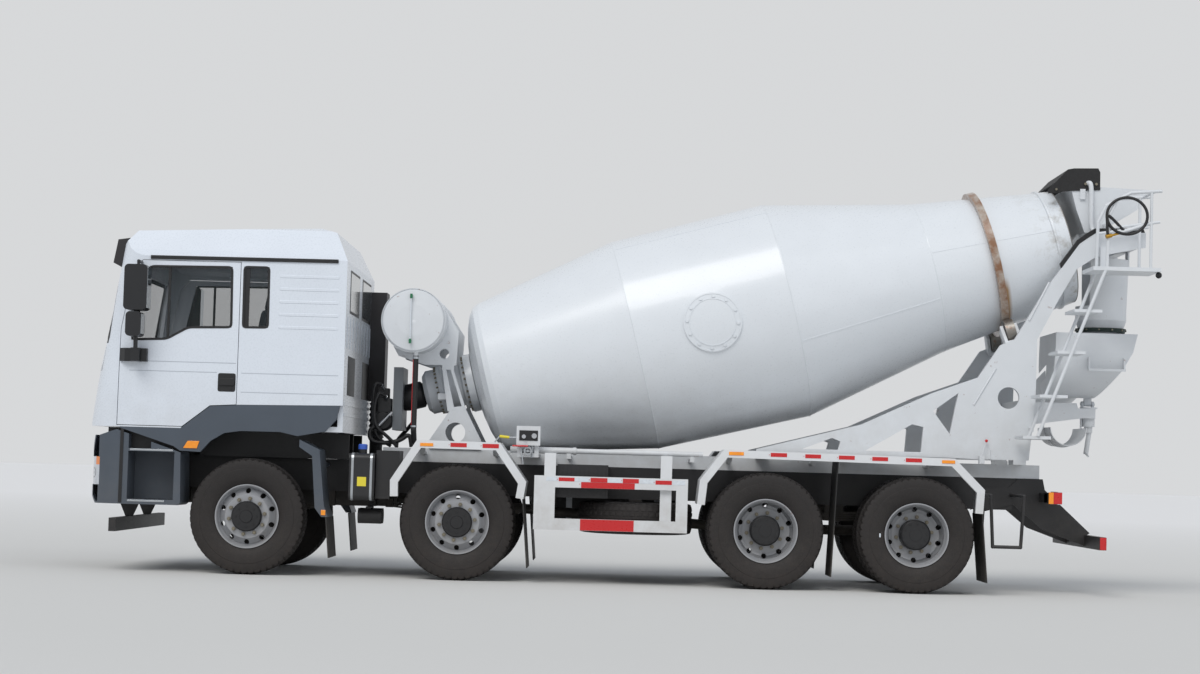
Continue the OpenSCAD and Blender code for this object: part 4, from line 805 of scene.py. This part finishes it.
def front_x(y, z):
    """Outer face of the cab's front at a height and a distance from the middle."""
    x = FRONT[0][1] if z < FRONT[0][0] else FRONT[-1][1]
    for (z1, x1), (z2, x2) in zip(FRONT, FRONT[1:]):
        if z1 <= z <= z2:
            x = x1 + (x2 - x1) * (z - z1) / (z2 - z1)
    inward = min(CORNER_R - 1, max(0.0, abs(y) - (CAB_Y - CORNER_R)))
    corner = FOOT_X + (z - FOOT_Z) * LEAN + CORNER_DEPTH
    return max(x, corner - CORNER_STRETCH * math.sqrt(CORNER_R ** 2 - inward ** 2))


def along(points, gap):
    """Points on a closed outline no more than a gap apart."""
    out = []
    for i, p in enumerate(points):
        a, c = Vector(p), Vector(points[(i + 1) % len(points)])
        n = max(1, math.ceil((c - a).length / gap))
        out += [tuple(a + (c - a) * k / n) for k in range(n)]
    return out


def front_patch(b, y1, y2, z1, z2, lift, deep, n, rows=1):
    """Thin plate on the front face."""
    ys = [y1 + (y2 - y1) * i / n for i in range(n + 1)]
    m = n + 1
    faces = []
    for i in range(n):
        faces += [(i, i + 1, m + i + 1, m + i), (2 * m + i, 3 * m + i, 3 * m + i + 1, 2 * m + i + 1),
                  (i, 2 * m + i, 2 * m + i + 1, i + 1), (m + i, m + i + 1, 3 * m + i + 1, 3 * m + i)]
    faces += [(0, m, 3 * m, 2 * m), (n, 2 * m + n, 3 * m + n, m + n)]
    for k in range(rows):
        zs = [z1 + (z2 - z1) * j / rows for j in (k, k + 1)]
        b.add([at(front_x(y, z) - lift + d, y, z) for d in (0, deep) for z in zs for y in ys], faces)


RIBS_Z, CREASES_Z = (2784, 2665, 2547, 2428, 2307), (1867, 1690)
on_sides(slabs(CAB_Y - 2, CAB_Y + 3.5, *[rounded(rect(245, 800, z - 13, z + 13), 13, 4) for z in RIBS_Z]),
         "cab_ribs", "cab_white", "cab", "cab_white", bevel=2, smooth=30)
# Creases of the cab side, each a thin greyer strip of painted shade along the crease
on_sides(slabs(CAB_Y - 2, CAB_Y + 1.4, *[rect(-84, 820, z, z + 7) for z in CREASES_Z]),
         "cab_crease_shade", "shade_line", "cab", "cab_white", bevel=1.2)

DOOR_WINDOW = [(-1124, 2154), (-791, 2168), (-593, 2281), (-190, 2292), (-200, 2860), (-972, 2850)]
QUARTER = [(-88, 2295), (150, 2299), (145, 2866), (-92, 2866)]
for side, s in (("left", -1), ("right", 1)):
    body = f"{side}_door"
    ring = rounded(DOOR_WINDOW, 42, 5)
    b = Batch().frame(inset(ring, -7), inset(ring, 15), s * (CAB_Y - 12), s * (CAB_Y + 3))
    b.slab([(-795, 2170), (-771, 2180), (-771, 2856), (-795, 2856)], s * (CAB_Y - 14), s * (CAB_Y - 6))
    b.piece(f"window_seal_{side}", "black", body, "rubber")
    b = Batch().slab(rounded(rect(-300, -135, 1694, 1866), 22), s * (CAB_Y - 2), s * (CAB_Y + 2))
    b.piece(f"handle_dish_{side}", "black", body, "trim_dark", bevel=1)
    grip = rounded([(-292, 1752), (-146, 1752), (-140, 1820), (-286, 1820)], 16)
    b = Batch().slab(grip, s * (CAB_Y + 1), s * (CAB_Y + 16))
    b.tube((-180, s * (CAB_Y + 1), 1722), (-180, s * (CAB_Y + 5), 1722), 13, 20)
    b.piece(f"door_handle_{side}", "black", body, "trim_dark", bevel=4)
    # Creases of the door, each a thin greyer strip of painted shade along the crease
    b = Batch()
    for z, end in ((1867, -312), (1957, -136)):
        b.slab(rect(-1128, end, z, z + 7), s * (CAB_Y - 2), s * (CAB_Y + 1.4))
    b.piece(f"door_crease_shade_{side}", "shade_line", body, "cab_white", bevel=1.2)
    b = Batch()
    b.box((-944.5, s * 1305, 2440), (-940, s * 1484, 2822))
    b.box((-990.5, s * 1318, 2200), (-987, s * 1475, 2385))
    b.piece(f"mirror_glass_{side}", "mirror", body, "mirror_black", bevel=1)
ring = rounded(QUARTER, 36, 5)
on_sides(lambda b, s: b.frame(inset(ring, -7), inset(ring, 14), s * (CAB_Y - 12), s * (CAB_Y + 3)),
         "quarter_seals", "black", "cab", "rubber")

# Front face: windscreen edge, panels, grille slats and wipers
SCREEN = along(rounded([(-1110, 2125), (1110, 2125), (1060, 2835), (-1060, 2835)], 70, 6), 60)
b = Batch().band(inset(SCREEN, -10), inset(SCREEN, 34),
                 lambda y, z, k: at(front_x(y, z) - 1.5 + (0, 4)[k], y, z))
b.piece("windscreen_edge", "black", "cab", "rubber", smooth=30)
b = Batch()
front_patch(b, -640, 640, 1445, 1800, 0.8, 3, 12, 3)
front_patch(b, -1080, 1080, 1862, 2085, 1.0, 3, 40, 3)
b.piece("front_panels", "black", "cab", "trim_dark", smooth=30)
b = Batch()
for z in [1482 + 64 * i for i in range(5)]:
    front_patch(b, -600, 600, z, z + 20, 5, 6, 12)
b.piece("grille_slats", "edge", "cab", "trim_dark", bevel=1)
WIPER_TIP_Z, WIPER_ROOT_Z, BLADE_Z, BLADE_STEP = 2200, 2010, 2180, 90
b = Batch()
for y0, y1 in ((-900, -250), (-120, 560)):
    middle = (y0 + y1) / 2
    tip = (front_x(y0, WIPER_TIP_Z) - 26, y0, WIPER_TIP_Z)
    root = (front_x(y1, WIPER_ROOT_Z) - 16, y1, WIPER_ROOT_Z)
    mid = (front_x(middle, 2120) - 24, middle, 2120)
    b.tube(root, mid, 8, 8)
    b.tube(mid, tip, 6, 8)
    b.tube((root[0] + 16, y1, WIPER_ROOT_Z), (root[0] - 6, y1, WIPER_ROOT_Z), 20, 16)
    blade = [(y0 - 60 + k * BLADE_STEP, BLADE_Z + 5 * k) for k in range(9)]
    blade = [(front_x(y, z) - 9, y, z) for y, z in blade]
    for start, end in zip(blade, blade[1:]):
        b.tube(start, end, 5, 6)
b.piece("wipers", "black", "cab", "rubber", bevel=1)

# Back of the cab: windows, vents and ribs
REAR_WINDOWS = ((-900, -150), (150, 900))
b = Batch()
for y0, y1 in REAR_WINDOWS:
    b.box((869, y0 - 24, 2476), (872, y1 + 24, 2884))
b.piece("rear_window_seals", "black", "cab", "rubber")
b = Batch()
for y0, y1 in REAR_WINDOWS:
    b.box((871, y0, 2500), (874, y1, 2860))
b.piece("rear_windows", "dark_glass", "cab", "glass", bevel=1)
b = Batch()
for y in (-640, 640):
    b.box((869, y - 300, 1700), (872.5, y + 300, 2070))
b.piece("rear_vent", "black", "cab", "trim_dark", bevel=1)
b = Batch()
for y in [-1080 + 252 * i for i in range(9)]:
    b.box((870, y, 2140), (875, y + 50, 2440))
for z in (1500, 1600):
    b.box((870, -1150, z), (875, 1150, z + 30))
b.piece("rear_ribs", "cab_white", "cab", "cab_white", bevel=3)

# Drum: welds, manhole and the blades inside the mouth
WELD_W, LONG_WELD_W, LONG_WELD_PARTS = 14, 11, 12
LONG_WELDS = [(1690, 3180, -28), (1690, 3180, 152), (3204, 4610, -110), (3204, 4610, 70), (4630, 5170, -75),
              (5262, 5826, -75)]


def weld(b, s, r):
    profile = [(-WELD_W / 2, r - 2), (-WELD_W / 4, r + 3), (WELD_W / 4, r + 3), (WELD_W / 2, r - 2)]
    b.turn(on_drum(s, 0, 0), AXIS, profile, 128)


def long_weld(b, s1, s2, angle):
    for i in range(LONG_WELD_PARTS):
        pts = []
        for s in (s1 + (s2 - s1) * i / LONG_WELD_PARTS, s1 + (s2 - s1) * (i + 1) / LONG_WELD_PARTS):
            r = drum_radius(s)
            pts += [on_drum(s, r + lift, angle + side * LONG_WELD_W / 2 / r)
                    for side in (-1, 1) for lift in (-2, 2.5)]
        b.add(pts, CUBE)


b = Batch()
for s, r in WALL[:3]:
    weld(b, s, r)
for s1, s2, degrees in LONG_WELDS:
    long_weld(b, s1, s2, math.radians(degrees))
b.piece("drum_welds", "drum_white", "drum_body", "drum_white", smooth=40)

MANHOLE_S, MANHOLE_ANGLE, MANHOLE_BOLTS = 2419, math.radians(-90), 12


def manhole_point(r, a):
    """Station on the axis, shell radius and angle of a point on a circle round the manhole."""
    s = MANHOLE_S + r * math.cos(a)
    base = drum_radius(s)
    return s, base, MANHOLE_ANGLE + math.asin(r * math.sin(a) / base)


def saddle(b, r_from, r_to, low, high, n=72):
    """Ring round the manhole, curved with the drum shell."""
    verts = []
    for r, lift in ((r_from, low), (r_from, high), (r_to, high), (r_to, low)):
        for i in range(n):
            s, base, phi = manhole_point(r, TAU * i / n)
            verts.append(on_drum(s, base + lift, phi))
    b.add(verts, row_faces(4, n, closed=True))


b = Batch()
saddle(b, 214, 222, 8, 16)
saddle(b, 262, 276, -2, 16)
for i in range(MANHOLE_BOLTS):
    s, base, phi = manhole_point(240, TAU * (i + 0.5) / MANHOLE_BOLTS)
    b.nut(on_drum(s, base + 10, phi), spoke(phi, UP, ACROSS), 16, 12)
b.piece("manhole_rim", "drum_white", "drum_body", "drum_white", smooth=30)

# Two spiral blades that show in the drum's mouth, and the band on the mouth's edge
BLADE_FROM, BLADE_LONG, BLADE_PARTS, BLADE_DEEP, BLADE_T = 4930, 1010, 56, 190, 4
b = Batch()
for start in (0.4, 0.4 + math.pi):
    verts = []
    for i in range(BLADE_PARTS + 1):
        s = BLADE_FROM + BLADE_LONG * i / BLADE_PARTS
        wall = 696 + (550 - 696) * (s - 4900) / (MOUTH - 4900) - 2
        phi = start + 2.3 * math.pi * i / BLADE_PARTS
        verts += [on_drum(s + t, r, phi) for r in (wall, wall - BLADE_DEEP) for t in (-BLADE_T, BLADE_T)]
    faces = []
    for k in range(0, 4 * BLADE_PARTS, 4):
        faces += [(k, k + 1, k + 5, k + 4), (k + 2, k + 6, k + 7, k + 3),
                  (k, k + 4, k + 6, k + 2), (k + 1, k + 3, k + 7, k + 5)]
    k = 4 * BLADE_PARTS
    b.add(verts, faces + [(0, 2, 3, 1), (k, k + 1, k + 3, k + 2)])
b.piece("mouth_blades", "cement", "drum_body", "drum_white", smooth=40)
EDGE_BAND = [(-4, MOUTH_R - 9), (5, MOUTH_R - 7), (5, MOUTH_R - 1), (-4, MOUTH_R + 1)]
b = Batch().turn(on_drum(MOUTH, 0, 0), AXIS, EDGE_BAND, 96)
b.piece("mouth_edge", "cement", "drum_body", "drum_white", smooth=30)

# Seats with crowned cushions and pulled-in channels
CHANNEL = 0.58
HALF = [0.3, 0.56, CHANNEL, 0.6, 0.74, 0.86, 0.94, 0.985, 1.0]
PAD_ROWS = [-t for t in reversed(HALF)] + [0.0] + HALF


def pad(name, outline, y0, half, crown):
    """Crowned cushion from a side outline, rounded towards its ends across the truck."""
    ring = rounded(outline, 34, 4)
    cx = sum(p[0] for p in ring) / len(ring)
    cz = sum(p[1] for p in ring) / len(ring)
    verts, n = [], len(ring)
    for t in PAD_ROWS:
        shrink = (1 - abs(t) ** 6) ** 0.5 if abs(t) < 1 else 0.0
        grow = crown * (1 - t * t) - (9 if abs(abs(t) - CHANNEL) < 0.005 else 0)
        for x, z in ring:
            d = Vector((x - cx, z - cz))
            u = d.normalized()
            k = max(0.0, d.length - 26 + (26 * shrink) + grow)
            verts.append(at(cx + u.x * k, y0 + half * t, cz + u.y * k))
    b = Batch().add(verts, solid_faces(len(PAD_ROWS), n))
    obj = b.piece(name, "seat_fabric", "cab", "seat_fabric", smooth=60)
    sub = obj.modifiers.new("soft", "SUBSURF")
    sub.levels = sub.render_levels = 2


CUSHION = [(-570, 1772), (-566, 1862), (-330, 1884), (-98, 1882), (-70, 1772)]
SEAT_BACK = [(-116, 1850), (-82, 1772), (-14, 1770), (138, 2486), (30, 2488), (-26, 2160)]
HEADREST = [(34, 2492), (128, 2490), (168, 2688), (72, 2690)]
for tag, y in (("left", -640), ("right", 640)):
    pad(f"seat_cushion_{tag}", CUSHION, y, 262, 16)
    pad(f"seat_back_{tag}", SEAT_BACK, y, 256, 12)
    pad(f"headrest_{tag}", HEADREST, y, 148, 10)
    b = Batch()
    for post_y in (y - 60, y + 60):
        b.tube((76, post_y, 2480), (80, post_y, 2500), 7, 10)
    b.box((-540, y - 246, 1740), (-100, y + 246, 1768))
    b.piece(f"seat_frame_{tag}", "black", "cab", "seat_fabric", bevel=3)

# Backing panels that close what shows behind the outer pieces; those beside the engine bay and under the sill
# are black sheets painted as the shade in the gaps behind them
on_sides(boxes((-560, 560, 1096, 868, 574, 1338), (-1330, 1090, 1120, -640, 1104, 1338),
               (-1188, 1226, 640, -1158, 1236, 1328)),
         "engine_bay_shade_sheets", "black", "chassis", "chassis_black")
# Black strip under the cab sill: painted shade for the gap behind it
on_sides(boxes((-1330, 1096, 1346, 866, 1108, 1392)), "sill_shade_sheet", "black", "cab", "interior")
on_sides(slabs(CAB_Y - 10, CAB_Y - 4, [(-92, 2300), (-34, 2301), (-34, 2862), (-94, 2862)]),
         "quarter_bands", "black", "cab", "rubber")

# Side lamps and housings at the rear, front side markers
on_sides(boxes((7524, 1044, 866, 7603, 1053, 974), (7942, 1149, 452, 7998, 1153, 568)),
         "rear_side_red", "red", "chassis", "lamp", bevel=1)
on_sides(boxes((7478, 1044, 866, 7523, 1053, 974)), "rear_side_amber", "amber", "chassis", "lamp", bevel=1)
on_sides(boxes((7480, 960, 870, 7560, 1046, 970), (7500, 700, 870, 7560, 960, 970)),
         "tail_housings", "black", "chassis", "chassis_black", bevel=2)
on_sides(boxes((700, 1214, 574, 742, 1236, 622)), "front_side_markers", "amber", "chassis", "lamp", bevel=2)

# Side guards: plates and colour bands; dash of paint on a tyre, spare tread and drip rails
on_sides(boxes((2700, 1240, 532, 2838, 1244, 858), (3842, 1165, 600, 3948, 1198, 965)),
         "guard_plates", "guard_white", "chassis", "guard_white")
on_sides(pads([(3107, 3604, 502, 604)], 1.5), "guard_red", "red", "chassis", "guard_white")
on_sides(pads(PALE_PADS), "pale_reflectors", "lens", "chassis", "lamp")
b = Batch().box((5880, -1236, 516), (5894, -1240.5, 552))
b.piece("paint_dash", "lens", "wheels_4_left", "tyre")
b = Batch()
tyre_into(b, 3620, -615, 620, lying=True, lift=5)
b.piece("spare_tread", "tyre", "chassis", "tyre", smooth=35)
on_sides(slabs(CAB_Y + 0.5, CAB_Y + 13, [(-966, 2914), (786, 2920), (786, 2955), (-966, 2949)]),
         "drip_rails", "black", "cab", "rubber", bevel=2)


# Camera at the photograph's angle

roll, pitch, yaw = 0.0279, 0.0557, -0.0042
PHOTO_WIDTH, FOCAL_PIXELS, SENSOR = 1200, 2324.46, 36
right = Vector((math.cos(roll), 0, math.sin(roll)))
up0 = Vector((-math.sin(roll), 0, math.cos(roll)))
fwd = ACROSS * math.cos(pitch) + up0 * math.sin(pitch)
up = up0 * math.cos(pitch) - ACROSS * math.sin(pitch)
right, fwd = right * math.cos(yaw) - fwd * math.sin(yaw), fwd * math.cos(yaw) + right * math.sin(yaw)
cam = bpy.data.cameras.new("camera")
cam.sensor_width = SENSOR
cam.lens = FOCAL_PIXELS * SENSOR / PHOTO_WIDTH
cam.clip_end = 200
view_from = bpy.data.objects.new("camera", cam)
bpy.context.scene.collection.objects.link(view_from)
where = at(3367.77, -22845, 1098.6)
view_from.matrix_world = Matrix(((right.x, up.x, -fwd.x, where.x), (right.y, up.y, -fwd.y, where.y),
                                 (right.z, up.z, -fwd.z, where.z), (0, 0, 0, 1)))
bpy.context.scene.camera = view_from


# Floor, backdrop and light, in metres

FLOOR_HALF, NEAR, FAR = 900, 9.0, 42.0


def pale(name, color, far_color):
    """Plain colour that takes the object's shadow and turns paler between NEAR and FAR from the middle."""
    m, g, shader = new_material(name)
    n = g.noise(0.4)
    low = tuple(c * 0.985 for c in color[:3]) + (1.0,)
    far = g.remap(g.vector("LENGTH", g.coord), NEAR, FAR)
    g.join(g.mix(far, g.mix(n, low, color), far_color), shader["Base Color"])
    g.join(g.remap(n, 0.2, 0.8, 0.8, 0.9), shader["Roughness"])
    g.join(0.1, shader["Specular IOR Level"])
    return m


mesh = bpy.data.meshes.new("floor")
corners = rect(-FLOOR_HALF, FLOOR_HALF, -FLOOR_HALF, FLOOR_HALF)
mesh.from_pydata([(x, y, 0) for x, y in corners], [], [(0, 1, 2, 3)])
mesh.materials.append(pale("floor", srgb(218, 217, 214), srgb(236, 235, 234)))
ground = bpy.data.objects.new("floor", mesh)
bpy.context.scene.collection.objects.link(ground)

world = bpy.data.worlds.new("studio")
bpy.context.scene.world = world
world.use_nodes = True
sky = Graph(world.node_tree)
background = sky.nodes["Background"]
sky.join((0.80, 0.86, 0.95, 1), background.inputs["Color"])
sky.join(0.5, background.inputs["Strength"])
plain = sky.nodes.new("ShaderNodeBackground")
sky.join((0.68, 0.69, 0.70, 1), plain.inputs["Color"])
sky.join(1.0, plain.inputs["Strength"])
path = sky.nodes.new("ShaderNodeLightPath")
seen = sky.math("MAXIMUM", path.outputs["Is Camera Ray"], path.outputs["Is Glossy Ray"])
seen = sky.math("MAXIMUM", seen, path.outputs["Is Transmission Ray"])
blend = sky.nodes.new("ShaderNodeMixShader")
for socket, value in zip(blend.inputs, (seen, background.outputs[0], plain.outputs[0])):
    sky.join(value, socket)
sky.join(blend.outputs[0], sky.nodes["World Output"].inputs["Surface"])


def sun(name, rotation, strength, angle, color):
    data = bpy.data.lights.new(name, "SUN")
    data.energy = strength
    data.angle = math.radians(angle)
    data.color = color
    obj = bpy.data.objects.new(name, data)
    obj.rotation_euler = [math.radians(a) for a in rotation]
    bpy.context.scene.collection.objects.link(obj)


sun("key", (42, 4, -28), 1.5, 34, (1.0, 0.985, 0.96))
sun("fill", (62, 0, 40), 0.45, 60, (0.95, 0.97, 1.0))
bpy.context.scene.view_settings.view_transform = "Standard"
